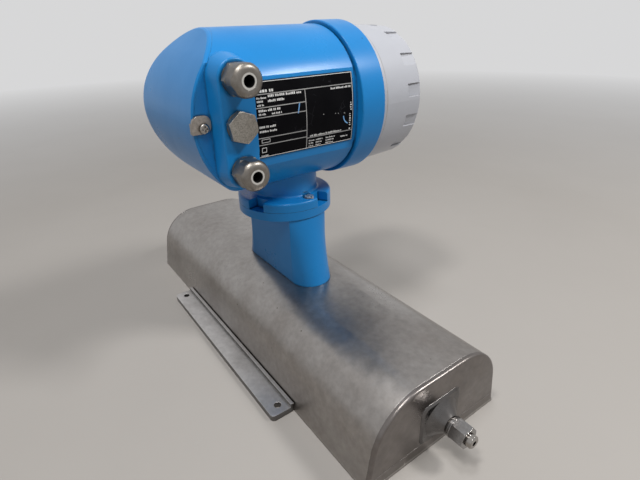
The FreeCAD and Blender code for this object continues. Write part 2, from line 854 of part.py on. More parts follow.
def body_bar(radius, wall, front):
    bar = rod(radius, -cutter_reach, front, "Y", (0.0, axis_height))
    flat = block((wall, -cutter_reach, axis_height - cutter_reach),
                 (cutter_reach, entry_setback, axis_height + cutter_reach))
    return bar.cut(flat)


def behind_seam(shape):
    low = (-cutter_reach, -cutter_reach, axis_height - cutter_reach)
    return shape.common(block(low, (cutter_reach, cover_seam, axis_height + cutter_reach)))


def ahead_of_seam(shape):
    low = (-cutter_reach, cover_seam, axis_height - cutter_reach)
    return shape.common(block(low, (cutter_reach, cutter_reach, axis_height + cutter_reach)))


def rear_cavity():
    return body_bar(body_radius - body_wall, wall_plane - body_wall, partition_rear)


def make_entry_pad():
    low, high = entry_heights[2], entry_heights[0]
    foot = obround(wall_plane, entry_setback, low, high, entry_pad_foot_radius)
    face = obround(entry_pad_face, entry_setback, low, high, entry_pad_face_radius)
    raised = Part.makeLoft([foot, face], True, True)
    face_edges = [edge for edge in raised.Edges if edge.BoundBox.XMin > entry_pad_face - touch]
    raised = raised.makeFillet(entry_pad_edge_radius, face_edges)
    root = Part.Face(obround(wall_plane - entry_pad_root, entry_setback, low, high, entry_pad_foot_radius))
    root = root.extrude(direction("X", entry_pad_root)).common(side_profile(cover_thickness + seat_clearance))
    return fused([raised, root])


def make_foot():
    disc = rod(foot_radius, foot_bottom, foot_top)
    rim = [edge for edge in disc.Edges if edge.BoundBox.ZMin > foot_top - touch]
    disc = disc.makeFillet(foot_edge_radius, rim)
    disc = fused([disc, rod(neck_radius, foot_bottom, axis_height)])
    root = []
    for edge in disc.Edges:
        box = edge.BoundBox
        if edge.Closed and abs(box.ZMin - foot_top) < touch and abs(box.ZMax - foot_top) < touch:
            root.append(edge)
    root = [edge for edge in root if edge.BoundBox.XLength < 2 * neck_radius + touch]
    disc = disc.makeFillet(neck_root_radius, root)
    corner_near = vec(notch_inner_radius, 0, foot_bottom - past)
    corner_far = vec(2 * foot_radius, 0, foot_bottom - past)
    height = direction("Z", foot_thickness + 2)
    corners = [corner_near, corner_far, corner_far + height, corner_near + height, corner_near]
    side = Part.Face(Part.makePolygon(corners))
    wedge = side.revolve(vec(0, 0, 0), direction("Z"), notch_width)
    for step in range(notch_count):
        notch = wedge.copy()
        bearing = notch_bearing - notch_width / 2 + 360 * step / notch_count
        notch.rotate(vec(0, 0, 0), direction("Z"), bearing)
        disc = disc.cut(notch)
    return disc


def lock_screw_centres():
    centres = []
    for step in range(lock_screw_count):
        angle = math.radians(lock_screw_bearing + 360 * step / lock_screw_count)
        centres.append((lock_screw_circle * math.cos(angle), lock_screw_circle * math.sin(angle)))
    return centres


def beside_plate(plane, past_collar):
    low = (plane, spot_face_front, axis_height - body_radius)
    return block(low, (cutter_reach, collar_start + past_collar, axis_height + body_radius))


def plate_seat():
    bar = rod(plate_seat_radius, spot_face_front - past, collar_start + past, "Y", plate_seat_centre)
    return beside_plate(0.0, 0.0).cut(bar)


def make_housing():
    centre = (0.0, axis_height)
    body = body_bar(body_radius, wall_plane, collar_start)
    spot_face = block((entry_pad_face, -cutter_reach, axis_height - cutter_reach),
                      (cutter_reach, spot_face_front, axis_height + cutter_reach))
    body = body.cut(spot_face)
    front_part = ahead_of_seam(body).common(side_profile(0.0))
    rear_part = behind_seam(body).common(side_profile(cover_thickness + seat_clearance))
    collar = rod(collar_radius, collar_start, collar_end, "Y", centre)
    collar = collar.makeFillet(collar_edge_radius, [edge for edge in collar.Edges if edge.Closed])
    casting = fused([front_part, rear_part, collar, make_entry_pad(), make_foot()])
    groove = sleeve(collar_radius, body_radius - groove_depth, groove_start, collar_start, "Y", centre)
    backing = beside_plate(plate_backing, plate_seat_wall)
    cuts = [groove, plate_seat(), rear_cavity().cut(backing)]
    cuts.append(rod(front_cavity_radius, partition_front, collar_end + past, "Y", centre).cut(backing))
    cuts.append(rod(collar_bore_radius, collar_end - collar_bore_depth, collar_end + past, "Y", centre))
    cuts.append(rod(swivel_spigot_radius + slide_clearance, foot_bottom - past, ledge_top))
    cuts.append(rod(neck_bore_radius, ledge_top, axis_height))
    hole_start = wall_plane - 2 * body_wall
    thread = entry_radius + thread_clearance
    for height in entry_heights:
        cuts.append(rod(thread, hole_start, entry_pad_face + past, "X", (entry_setback, height)))
    thread = lock_shank_radius + thread_clearance
    for screw_centre in lock_screw_centres():
        cuts.append(rod(lock_recess_radius, lock_seat, foot_top + lock_recess_rise, "Z", screw_centre))
        cuts.append(rod(thread, foot_bottom - past, foot_top, "Z", screw_centre))
    thread = clamp_screw_radius + thread_clearance
    cuts.append(rod(thread, hole_start, wall_plane + past, "X", (clamp_screw_y, clamp_screw_z)))
    cuts.append(terminal_seal_band(0.0))
    for cut in cuts:
        casting = casting.cut(cut)
    return casting


# Rear terminal cover

def make_terminal_cover():
    skin = behind_seam(body_bar(body_radius, wall_plane, collar_start))
    outer = side_profile(0.0)
    cover = skin.common(outer).cut(side_profile(cover_thickness))
    rim = []
    for edge in cover.Edges:
        middle = edge.valueAt((edge.FirstParameter + edge.LastParameter) / 2)
        radius = math.hypot(middle.x, middle.z - axis_height)
        on_side = abs(radius - body_radius) < touch or abs(middle.x - wall_plane) < touch
        if on_side and min(face.distToShape(Part.Vertex(middle))[0] for face in outer.Faces) < touch:
            rim.append(edge)
    return cover.makeChamfer(cover_edge_chamfer, rim)


def terminal_seal_band(shrink):
    outer_wall = cover_seal_inset + shrink
    inner_wall = cover_seal_inset + cover_seal_width - shrink
    outer = body_bar(body_radius - outer_wall, wall_plane - outer_wall, partition_rear)
    inner = body_bar(body_radius - inner_wall, wall_plane - inner_wall, partition_rear)
    deep = side_profile(cover_seal_depth)
    layer = side_profile(cover_thickness + shrink).cut(deep)
    return behind_seam(outer.cut(inner)).common(layer)


def make_cover_clamp():
    lip_face = rear_most - seat_clearance
    lip_back = lip_face - clamp_lip_plate
    low_z = clamp_screw_z - clamp_screw_rise
    high_z = low_z + clamp_height
    plate = block((wall_plane, lip_back, low_z), (wall_plane + clamp_plate, clamp_end, high_z))
    corners = [edge for edge in plate.Edges if edge.BoundBox.XLength > touch]
    rounded = [edge for edge in corners if edge.BoundBox.YMin > lip_face or edge.BoundBox.ZMin > low_z + touch]
    plate = plate.makeFillet(clamp_corner_radius, rounded)
    lip = block((wall_plane - clamp_lip, lip_back, low_z), (wall_plane, lip_face, high_z - clamp_corner_radius))
    hole = rod(clamp_screw_radius + thread_clearance, wall_plane - past, wall_plane + clamp_plate + past, "X",
               (clamp_screw_y, clamp_screw_z))
    return fused([plate, lip]).cut(hole)


def make_clamp_screw():
    centre = (clamp_screw_y, clamp_screw_z)
    seat = wall_plane + clamp_plate
    head = rod(clamp_head_radius, seat, seat + clamp_head_height, "X", centre)
    top_edge = [edge for edge in head.Edges if edge.BoundBox.XMin > seat + clamp_head_height - touch]
    head = head.makeFillet(clamp_head_rounding, top_edge)
    shank = rod(clamp_screw_radius, seat - clamp_plate - clamp_screw_length, seat, "X", centre)
    screw = fused([head, shank])
    depth = seat + clamp_head_height - slot_depth
    far = seat + clamp_head_height + 1
    for half_y, half_z in ((cross_reach, slot_width / 2), (slot_width / 2, cross_reach)):
        screw = screw.cut(block((depth, centre[0] - half_y, centre[1] - half_z),
                                (far, centre[0] + half_y, centre[1] + half_z)))
    return screw


# Cable entries

def make_gland_body(height):
    centre = (entry_setback, height)
    stem_start = washer_end - stem_length
    thread_end = gland_hex_end + gland_thread_length
    stem = rod(entry_radius, stem_start, washer_end, "X", centre)
    head = chamfered_hexagon(gland_flats, hex_chamfer, washer_end, gland_hex_end, "X", centre, 0.0, True)
    thread = rod(gland_thread_radius, gland_hex_end, thread_end, "X", centre)
    bore = rod(gland_bore_radius, stem_start - past, thread_end + past, "X", centre)
    return fused([stem, head, thread]).cut(bore)


def make_gland_nut(height):
    centre = (entry_setback, height)
    dome_start = gland_nut_end - gland_dome_length
    rim = gland_nut_radius - dome_bulge_drop
    rise = gland_nut_end - dome_bulge_setback
    point = [(gland_nut_start, gland_nut_radius), (dome_start, gland_nut_radius), (rise, rim)]
    point += [(gland_nut_end, gland_mouth_radius), (gland_nut_end, 0), (gland_nut_start, 0)]
    corners = [place("X", along, (centre[0] + radius, centre[1])) for along, radius in point]
    start, shoulder, middle, mouth, mouth_centre, start_centre = corners
    outline = [Part.LineSegment(start, shoulder), Part.Arc(shoulder, middle, mouth)]
    outline += [Part.LineSegment(mouth, mouth_centre), Part.LineSegment(mouth_centre, start_centre)]
    outline.append(Part.LineSegment(start_centre, start))
    dome = Part.Face(wire_of(outline)).revolve(start_centre, direction("X"), 360)
    flats = 2 * (gland_nut_radius - gland_nut_flat_depth)
    dome = dome.common(hexagon(flats, gland_nut_start, gland_nut_end, "X", centre))
    thread_end = gland_hex_end + gland_thread_length + slide_clearance
    thread = rod(gland_thread_radius + thread_clearance, gland_nut_start - past, thread_end, "X", centre)
    mouth_hole = rod(gland_bore_radius + thread_clearance, gland_nut_start, gland_nut_end + past, "X", centre)
    return dome.cut(thread).cut(mouth_hole)


def make_cable_seal(height):
    end = gland_nut_end - seat_clearance
    return sleeve(gland_bore_radius - thread_clearance, cable_bore_radius, end - cable_seal_length, end, "X",
                  (entry_setback, height))


def make_blanking_plug():
    centre = (entry_setback, entry_heights[1])
    head_end = washer_end + plug_head_height
    head = chamfered_hexagon(plug_flats, hex_chamfer, washer_end, head_end, "X", centre, plug_turn, False)
    stem = rod(entry_radius, washer_end - stem_length, washer_end, "X", centre)
    return fused([head, stem])


def make_entry_washers():
    inner = entry_radius + seat_clearance
    outer = inner + washer_width
    rings = []
    for height in entry_heights:
        rings.append(sleeve(outer, inner, entry_pad_face, washer_end, "X", (entry_setback, height)))
    return Part.makeCompound(rings)


def make_lock_screws():
    screws = []
    for centre in lock_screw_centres():
        head = rod(lock_head_radius, lock_seat, lock_seat + lock_head_height, "Z", centre)
        shank = rod(lock_shank_radius, foot_bottom, lock_seat, "Z", centre)
        top = lock_seat + lock_head_height
        slot = block((centre[0] - 2 * lock_head_radius, centre[1] - slot_width / 2, top - slot_depth),
                     (centre[0] + 2 * lock_head_radius, centre[1] + slot_width / 2, top + past))
        screws.append(fused([head, shank]).cut(slot))
    return Part.makeCompound(screws)


def make_nameplate():
    inner = plate_seat_radius + thread_clearance
    shell = sleeve(inner + plate_thickness, inner, plate_rear, plate_front, "Y", plate_seat_centre)
    outline = rounded_rectangle(0.0, (plate_rear, plate_front),
                                (axis_height + plate_bottom, axis_height + plate_top), plate_corner_radius)
    return shell.common(Part.Face(outline).extrude(direction("X", 2 * body_radius)))


# Front cover

def make_front_cover():
    centre = (0.0, axis_height)
    bead_end = lid_start + lid_bead_length
    profile = [(skirt_end, lid_bore_radius), (skirt_end, skirt_radius), (lid_start, skirt_radius)]
    profile += [(lid_start, lid_shoulder_radius), (bead_end, lid_shoulder_radius)]
    profile += [(bead_end, lid_body_radius), (lid_end, lid_end_radius)]
    profile += [(lid_end, window_opening_radius), (window_seat, window_opening_radius)]
    profile += [(window_seat, window_radius + seat_clearance), (window_back, window_radius + seat_clearance)]
    profile += [(window_back, lid_bore_radius)]
    lid = turned(profile, "Y", centre)
    rim = []
    for edge in lid.Edges:
        box = edge.BoundBox
        if edge.Closed and box.YMin > lid_end - touch and box.XLength > 2 * lid_end_radius - 1:
            rim.append(edge)
    lid = lid.makeFillet(lid_edge_radius, rim)
    floor_radius = lid_end_radius - grip_depth
    near = vec(floor_radius, lid_end - grip_length, axis_height)
    far = vec(2 * lid_body_radius, lid_end - grip_length, axis_height)
    length = direction("Y", grip_length + past)
    side = Part.Face(Part.makePolygon([near, far, far + length, near + length, near]))
    pivot = vec(0, 0, axis_height)
    wedge = side.revolve(pivot, direction("Y"), grip_width)
    for step in range(grip_count):
        grip = wedge.copy()
        bearing = grip_bearing + grip_width / 2 + 360 * step / grip_count
        grip.rotate(pivot, direction("Y"), -bearing)
        lid = lid.cut(grip)
    groove_end = lid_start - lid_seal_setback
    groove_floor = skirt_radius - lid_seal_depth
    groove = sleeve(skirt_radius + past, groove_floor, groove_end - lid_seal_height, groove_end, "Y", centre)
    return lid.cut(groove)


def make_front_cover_seal():
    end = lid_start - lid_seal_setback - seat_clearance
    start = end - lid_seal_height + 2 * seat_clearance
    inner = skirt_radius - lid_seal_depth + seat_clearance
    return sleeve(skirt_radius, inner, start, end, "Y", (0.0, axis_height))


def make_window_seal():
    return sleeve(window_radius, window_opening_radius, window_front, window_seat, "Y", (0.0, axis_height))


def make_window_glass():
    return rod(window_radius, window_back, window_front, "Y", (0.0, axis_height))


def make_window_ring():
    outer = lid_bore_radius - seat_clearance
    return sleeve(outer, outer - window_ring_width, window_ring_start, window_back, "Y", (0.0, axis_height))


# Electronics

def stack_post_centres():
    signs = [(1, 1), (-1, 1), (-1, -1), (1, -1)]
    return [(x * stack_post_offset, axis_height + z * stack_post_offset) for x, z in signs]


def make_stack_board(start, parts_on_it):
    end = start + board_thickness
    board = block((-stack_board_half, start, axis_height - stack_board_half),
                  (stack_board_half, end, axis_height + stack_board_half))
    upright = [edge for edge in board.Edges if edge.BoundBox.YLength > board_thickness / 2]
    board = board.makeChamfer(stack_board_chamfer, upright)
    pieces = [board]
    for left, bottom, right, top, rise in parts_on_it:
        pieces.append(block((left * stack_field, end, axis_height + bottom * stack_field),
                            (right * stack_field, end + rise, axis_height + top * stack_field)))
    return fused(pieces)


def make_stack_posts():
    posts = []
    reach = partition_front
    for start in (first_board, second_board, third_board, display_start):
        for centre in stack_post_centres():
            posts.append(rod(stack_post_radius, reach, start, "Y", centre))
        reach = start + board_thickness
    return Part.makeCompound(posts)


def make_display_module():
    end = display_start + display_thickness
    disc = rod(display_radius, display_start, end, "Y", (0.0, axis_height))
    screen_z = axis_height + display_screen_rise
    half_width, half_height = display_screen_width / 2, display_screen_height / 2
    screen = block((-half_width, end - display_screen_depth, screen_z - half_height),
                   (half_width, end + past, screen_z + half_height))
    disc = disc.cut(screen)
    for step in (-1, 0, 1):
        key_centre = (step * key_pitch, axis_height - key_drop)
        disc = disc.cut(rod(key_radius, end - key_depth, end + past, "Y", key_centre))
    return disc


def make_terminal_block():
    end = partition_rear
    base_rear = end - terminal_base_thickness
    half = terminal_half_width
    reach = (terminal_row_pitch + terminal_row_height) / 2 + terminal_base_thickness
    pieces = [block((-half, base_rear, axis_height - reach), (half, end, axis_height + reach))]
    for side in (-1, 1):
        row = axis_height + side * terminal_row_pitch / 2
        pieces.append(block((-half, base_rear - terminal_depth, row - terminal_row_height / 2),
                            (half, base_rear, row + terminal_row_height / 2)))
    terminals = fused(pieces)
    pitch = 2 * half / terminal_count
    for side in (-1, 1):
        for step in range(terminal_count):
            hole_centre = (-half + pitch * (step + 0.5), axis_height + side * terminal_row_pitch / 2)
            rear = base_rear - terminal_depth
            hole = rod(terminal_hole_radius, rear - past, rear + terminal_depth / 2, "Y", hole_centre)
            terminals = terminals.cut(hole)
    return terminals


# Parts on each board: left, bottom, right and top as shares of the field between the posts, and the rise
supply_parts = [(-0.98, -0.08, -0.06, 0.88, 14.0), (0.36, 0.16, 0.92, 0.96, 12.0)]
supply_parts.append((-0.56, -0.96, 0.88, -0.64, 10.0))
io_parts = [(-0.84, -0.68, -0.12, 0.04, 3.0), (0.40, 0.08, 0.88, 0.56, 4.0)]
amplifier_parts = [(-0.44, -0.20, 0.44, 0.68, 3.5), (-0.80, -1.0, 0.80, -0.68, 9.0)]

along_x = vec(1, 0, 0)
along_y = vec(0, 1, 0)

nodes = {
    "base_plate": make_base_plate(),
    "casing_hood": make_hood(),
    "inlet_end_plate": make_end_plate(),
    "outlet_end_plate": mirrored(make_end_plate(), along_x),
    "front_mounting_bar": make_mounting_bar(),
    "rear_mounting_bar": mirrored(make_mounting_bar(), along_y),
    "inlet_port": make_port(),
    "outlet_port": mirrored(make_port(), along_x),
    "inlet_port_nut": make_port_nut(),
    "outlet_port_nut": mirrored(make_port_nut(), along_x),
    "inlet_port_stub": make_port_stub(),
    "outlet_port_stub": mirrored(make_port_stub(), along_x),
    "port_seals": Part.makeCompound([make_port_seal(), mirrored(make_port_seal(), along_x)]),
    "measuring_tube": make_measuring_tube(),
    "tube_carrier": make_carrier(),
    "inlet_tube_clamp": make_tube_clamp(),
    "outlet_tube_clamp": mirrored(make_tube_clamp(), along_x),
    "drive_coil": make_coil(0.0),
    "drive_magnet": make_magnet(0.0),
    "pickup_coils": Part.makeCompound([make_coil(-pickup_position), make_coil(pickup_position)]),
    "pickup_magnets": Part.makeCompound([make_magnet(-pickup_position), make_magnet(pickup_position)]),
    "temperature_sensor": make_temperature_sensor(),
    "coil_board": make_coil_board(),
    "coil_board_pillars": make_coil_board_pillars(),
    "signal_lead": make_signal_lead(),
    "pedestal": make_pedestal(),
    "swivel_retaining_ring": make_retaining_ring(),
    "swivel_seal": make_swivel_seal(),
    "feedthrough": make_feedthrough(),
    "transmitter_housing": make_housing(),
    "terminal_cover": make_terminal_cover(),
    "terminal_cover_seal": terminal_seal_band(seat_clearance),
    "cover_clamp": make_cover_clamp(),
    "cover_clamp_screw": make_clamp_screw(),
    "upper_gland_body": make_gland_body(entry_heights[0]),
    "upper_gland_nut": make_gland_nut(entry_heights[0]),
    "upper_cable_seal": make_cable_seal(entry_heights[0]),
    "lower_gland_body": make_gland_body(entry_heights[2]),
    "lower_gland_nut": make_gland_nut(entry_heights[2]),
    "lower_cable_seal": make_cable_seal(entry_heights[2]),
    "blanking_plug": make_blanking_plug(),
    "entry_washers": make_entry_washers(),
    "swivel_lock_screws": make_lock_screws(),
    "nameplate": make_nameplate(),
    "front_cover": make_front_cover(),
    "front_cover_seal": make_front_cover_seal(),
    "window_seal": make_window_seal(),
    "window_glass": make_window_glass(),
    "window_retaining_ring": make_window_ring(),
    "power_supply_board": make_stack_board(first_board, supply_parts),
    "input_output_board": make_stack_board(second_board, io_parts),
    "amplifier_board": make_stack_board(third_board, amplifier_parts),
    "board_stack_posts": make_stack_posts(),
    "display_module": make_display_module(),
    "terminal_block": make_terminal_block(),
}

os.makedirs("parts", exist_ok=True)
for name, shape in nodes.items():
    shape.exportStep("parts/%s.step" % name)
print("%d nodes written" % len(nodes))
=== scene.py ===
import math
import random
import bpy
import bmesh
from mathutils import Matrix, Vector


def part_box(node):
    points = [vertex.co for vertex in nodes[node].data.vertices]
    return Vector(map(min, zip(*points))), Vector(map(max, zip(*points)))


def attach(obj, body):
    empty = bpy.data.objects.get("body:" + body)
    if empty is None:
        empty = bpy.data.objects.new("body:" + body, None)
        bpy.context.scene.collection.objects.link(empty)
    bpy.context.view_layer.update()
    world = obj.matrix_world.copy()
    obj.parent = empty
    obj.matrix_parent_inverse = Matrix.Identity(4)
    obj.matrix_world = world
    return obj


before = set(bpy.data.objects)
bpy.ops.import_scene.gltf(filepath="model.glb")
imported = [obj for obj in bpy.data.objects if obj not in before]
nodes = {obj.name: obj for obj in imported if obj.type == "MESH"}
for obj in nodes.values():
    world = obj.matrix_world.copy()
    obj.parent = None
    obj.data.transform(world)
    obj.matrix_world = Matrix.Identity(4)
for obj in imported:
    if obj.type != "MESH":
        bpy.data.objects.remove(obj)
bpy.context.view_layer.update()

mm = 0.001
bpy.context.scene.view_settings.view_transform = "Standard"
print("frame loaded:", len(nodes), "nodes")

# Camera at the photograph's viewing angle
cameraView = {
    "position": (0.36984, -0.21937, 0.31721),
    "yaw": 54.64,  # degrees, as the next two
    "pitch": 26.87,
    "roll": 1.40,
    "focalPixels": 443.0,
    "imageWidth": 640,
    "sensorWidth": 36.0,
    "clipStart": 10.0 * mm,
}


def addCamera(view):
    yaw, pitch, roll = (math.radians(view[key]) for key in ("yaw", "pitch", "roll"))
    forward = Vector((-math.sin(yaw) * math.cos(pitch), math.cos(yaw) * math.cos(pitch), -math.sin(pitch)))
    level = Vector((math.cos(yaw), math.sin(yaw), 0.0))
    down = forward.cross(level)
    right = level * math.cos(roll) + down * math.sin(roll)
    lower = down * math.cos(roll) - level * math.sin(roll)
    data = bpy.data.cameras.new("photoCamera")
    data.sensor_width = view["sensorWidth"]
    data.lens = view["focalPixels"] / view["imageWidth"] * view["sensorWidth"]
    data.clip_start = view["clipStart"]
    camera = bpy.data.objects.new("photoCamera", data)
    turn = Matrix((right, -lower, -forward)).transposed().to_4x4()
    camera.matrix_world = Matrix.Translation(view["position"]) @ turn
    bpy.context.collection.objects.link(camera)
    bpy.context.scene.camera = camera


addCamera(cameraView)
print("camera set")


# Node helpers

def rgb(red, green, blue):
    return (red, green, blue, 1.0)


def feed(tree, socket, value):
    if isinstance(value, bpy.types.Node):
        value = value.outputs[0]
    if isinstance(value, bpy.types.NodeSocket):
        tree.links.new(value, socket)
    else:
        socket.default_value = value


def addNode(tree, kind, inputs=None, **settings):
    node = tree.nodes.new("ShaderNode" + kind)
    for name, value in settings.items():
        setattr(node, name, value)
    for name, value in (inputs or {}).items():
        feed(tree, node.inputs[name], value)
    return node


def addMath(tree, operation, first, second):
    return addNode(tree, "Math", {0: first, 1: second}, operation=operation)


def addGap(tree, value, middle):  # how far a value lies from a middle, to either side
    return addMath(tree, "ABSOLUTE", addMath(tree, "SUBTRACT", value, middle), 0.0)


def addLength(tree, vector):
    return addNode(tree, "VectorMath", {0: vector}, operation="LENGTH").outputs["Value"]


def addAxes(tree, vector):
    return addNode(tree, "SeparateXYZ", {0: vector}).outputs


def addNoise(tree, vector, scale, detail=2.0, roughness=0.5):
    inputs = {"Vector": vector, "Scale": scale, "Detail": detail, "Roughness": roughness}
    return addNode(tree, "TexNoise", inputs)


def addSpan(tree, value, low, high, toLow=0.0, toHigh=1.0):
    inputs = {"Value": value, "From Min": low, "From Max": high, "To Min": toLow, "To Max": toHigh}
    return addNode(tree, "MapRange", inputs)


def mixColour(tree, factor, first, second, blend="MIX"):
    inputs = {0: factor, 6: first, 7: second}  # the sockets that a colour mix uses
    return addNode(tree, "Mix", inputs, data_type="RGBA", blend_type=blend).outputs[2]


def newGroup(name, inputs, outputs):
    group = bpy.data.node_groups.new(name, "ShaderNodeTree")
    for label, kind, value in inputs:
        socket = group.interface.new_socket(label, in_out="INPUT", socket_type="NodeSocket" + kind)
        if value is not None:
            socket.default_value = value
    for label, kind in outputs:
        group.interface.new_socket(label, in_out="OUTPUT", socket_type="NodeSocket" + kind)
    given = group.nodes.new("NodeGroupInput").outputs
    result = group.nodes.new("NodeGroupOutput").inputs
    return group, given, result


def addGroup(tree, group, inputs):
    return addNode(tree, "Group", inputs, node_tree=group)


# Effects that several finishes share
effects = {
    "raySamples": 8,
    "edgeTurn": (0.99, 0.78),  # cosine of the turn where an edge starts to take wear and painted highlight, and where they are full
    "cornerShade": (0.88, 0.50),  # openness where painted corner shade and dirt start, and where they are full
    "shadeAndDirtPatches": (0.25, 0.60, 0.35, 1.0),  # span of the noise, then of the painted shade and dirt that it leaves
    "edgeWearAndHighlightPatches": (0.35, 0.60),
    "noiseSpan": (0.3, 0.7),
    "raggedScale": 1500.0,  # noise that frays the specks
    "raggedShift": 0.6 * mm,
    "speckCore": 0.6,  # share of a speck that is full
    "patchScale": 0.7,  # share of the scratches' own scale
}


def makeSoftEdges():
    outputs = [("Normal", "Vector"), ("Edge", "Float")]
    group, given, result = newGroup("softEdges", [("Radius", "Float", 0.4 * mm)], outputs)
    rounded = addNode(group, "Bevel", {"Radius": given["Radius"]}, samples=effects["raySamples"])
    flat = addNode(group, "NewGeometry").outputs["Normal"]
    turned = addNode(group, "VectorMath", {0: rounded, 1: flat}, operation="DOT_PRODUCT").outputs["Value"]
    feed(group, result["Normal"], rounded)
    feed(group, result["Edge"], addSpan(group, turned, *effects["edgeTurn"]))
    return group


# Painted shade and dirt: a mask, found by ambient occlusion and broken into patches, that darkens corners,
# creases and the joins between parts
def makeShadeAndDirt():
    inputs = [("Vector", "Vector", None), ("Reach", "Float", 3.0 * mm), ("Scale", "Float", 250.0)]
    group, given, result = newGroup("shadeAndDirt", inputs, [("Mask", "Float")])
    around = addNode(group, "AmbientOcclusion", {"Distance": given["Reach"]}, samples=effects["raySamples"])
    corner = addSpan(group, around.outputs["AO"], *effects["cornerShade"])
    noise = addNoise(group, given["Vector"], given["Scale"], 3.0)
    uneven = addSpan(group, noise, *effects["shadeAndDirtPatches"])
    feed(group, result["Mask"], addMath(group, "MULTIPLY", corner, uneven))
    return group


def makeClouds():
    inputs = [("Vector", "Vector", None), ("Scale", "Float", 20.0)]
    group, given, result = newGroup("clouds", inputs, [("Value", "Float")])
    broad = addNoise(group, given["Vector"], given["Scale"], 5.0, 0.6)
    feed(group, result["Value"], addSpan(group, broad, *effects["noiseSpan"]))
    return group


def makeSpecks():
    inputs = [("Vector", "Vector", None), ("Scale", "Float", 200.0), ("Share", "Float", 0.1),
              ("Size", "Float", 0.2)]
    group, given, result = newGroup("specks", inputs, [("Mask", "Float")])
    ragged = addNoise(group, given["Vector"], effects["raggedScale"]).outputs["Color"]
    shift = addNode(group, "VectorMath", {0: ragged, "Scale": effects["raggedShift"]}, operation="SCALE")
    moved = addNode(group, "VectorMath", {0: given["Vector"], 1: shift}, operation="ADD")
    cells = addNode(group, "TexVoronoi", {"Vector": moved, "Scale": given["Scale"]})
    chance = addNode(group, "SeparateColor", {0: cells.outputs["Color"]})
    chosen = addMath(group, "LESS_THAN", chance.outputs[0], given["Share"])
    reach = addMath(group, "MULTIPLY", chance.outputs[1], given["Size"])
    core = addMath(group, "MULTIPLY", reach, effects["speckCore"])
    inside = addSpan(group, cells.outputs["Distance"], core, reach, 1.0, 0.0)
    feed(group, result["Mask"], addMath(group, "MULTIPLY", inside, chosen))
    return group


def makeScratches():
    inputs = [("Vector", "Vector", None), ("Scale", "Float", 60.0), ("Width", "Float", 0.02),
              ("Share", "Float", 0.5)]
    group, given, result = newGroup("scratches", inputs, [("Mask", "Float")])
    cells = addNode(group, "TexVoronoi", {"Vector": given["Vector"], "Scale": given["Scale"]},
                    feature="DISTANCE_TO_EDGE")
    line = addSpan(group, cells, 0.0, given["Width"], 1.0, 0.0)
    broad = addMath(group, "MULTIPLY", given["Scale"], effects["patchScale"])
    patch = addNoise(group, given["Vector"], broad, 3.0)
    shown = addMath(group, "LESS_THAN", patch, given["Share"])
    feed(group, result["Mask"], addMath(group, "MULTIPLY", line, shown))
    return group


def makeLatheLines():
    inputs = [("Vector", "Vector", None), ("Scale", "Float", 1500.0)]
    group, given, result = newGroup("latheLines", inputs, [("Height", "Float")])
    flat = addNode(group, "VectorMath", {0: given["Vector"], 1: (0.0, 1.0, 1.0)}, operation="MULTIPLY")
    along = addAxes(group, given["Vector"])["X"]
    place = addNode(group, "CombineXYZ", {0: along, 1: addLength(group, flat)})
    feed(group, result["Height"], addNoise(group, place, given["Scale"], 2.0, 0.7))
    return group


softEdges = makeSoftEdges()
shadeAndDirt = makeShadeAndDirt()
clouds = makeClouds()
specks = makeSpecks()
scratches = makeScratches()
latheLines = makeLatheLines()
print("shared effects ready")

# Finishes
grainDepth = 0.1 * mm
smallEdge = 0.2 * mm  # rounding of small pieces


def newMaterial(name):
    material = bpy.data.materials.new(name)
    material.use_nodes = True
    tree = material.node_tree
    return material, tree, tree.nodes["Principled BSDF"], addNode(tree, "TexCoord").outputs["Object"]


def setPlain(shader, values):
    for name, value in values.items():
        shader.inputs[name].default_value = value


def addClouds(tree, place, scale):
    return addGroup(tree, clouds, {"Vector": place, "Scale": scale})


def addSpecks(tree, place, look):
    inputs = {"Vector": place, "Scale": look["speckScale"], "Share": look["speckShare"]}
    return addGroup(tree, specks, {**inputs, "Size": look["speckSize"]})


def addScratches(tree, place, look):
    inputs = {"Vector": place, "Scale": look["scratchScale"], "Width": look["scratchWidth"]}
    return addGroup(tree, scratches, {**inputs, "Share": look["scratchShare"]})


def spreadRoughness(tree, shader, mask, span):
    feed(tree, shader.inputs["Roughness"], addSpan(tree, mask, 0.0, 1.0, *span))


def finishNormal(tree, shader, height, strength, distance, edgeRadius, wave=None, waveHeight=0.0):
    rounded = addGroup(tree, softEdges, {"Radius": edgeRadius})
    under = rounded
    if wave is not None:
        under = addNode(tree, "Bump", {"Distance": waveHeight, "Height": wave, "Normal": rounded})
    inputs = {"Strength": strength, "Distance": distance, "Height": height, "Normal": under}
    feed(tree, shader.inputs["Normal"], addNode(tree, "Bump", inputs))
    return rounded.outputs["Edge"]


def addWearHighlightDirtAndShade(tree, place, tone, edge, look):
    # rounded edges are lightened in patches: partly wear, partly a painted highlight
    noise = addNoise(tree, place, look["edgeWearAndHighlightScale"], 3.0)
    patchy = addSpan(tree, noise, *effects["edgeWearAndHighlightPatches"])
    weighted = addMath(tree, "MULTIPLY", addMath(tree, "MULTIPLY", edge, patchy), look["edgeWearAndHighlight"])
    tone = mixColour(tree, weighted, tone, look["edgeWearAndHighlightColour"])
    # darker colour where ambient occlusion finds corners and neighbouring parts: painted shade, with dirt
    cornerDirtAndShade = addGroup(tree, shadeAndDirt, {"Vector": place, "Reach": look["shadeAndDirtReach"]})
    return mixColour(tree, addMath(tree, "MULTIPLY", cornerDirtAndShade, look["shadeAndDirt"]), tone, look["shadeAndDirtColour"])


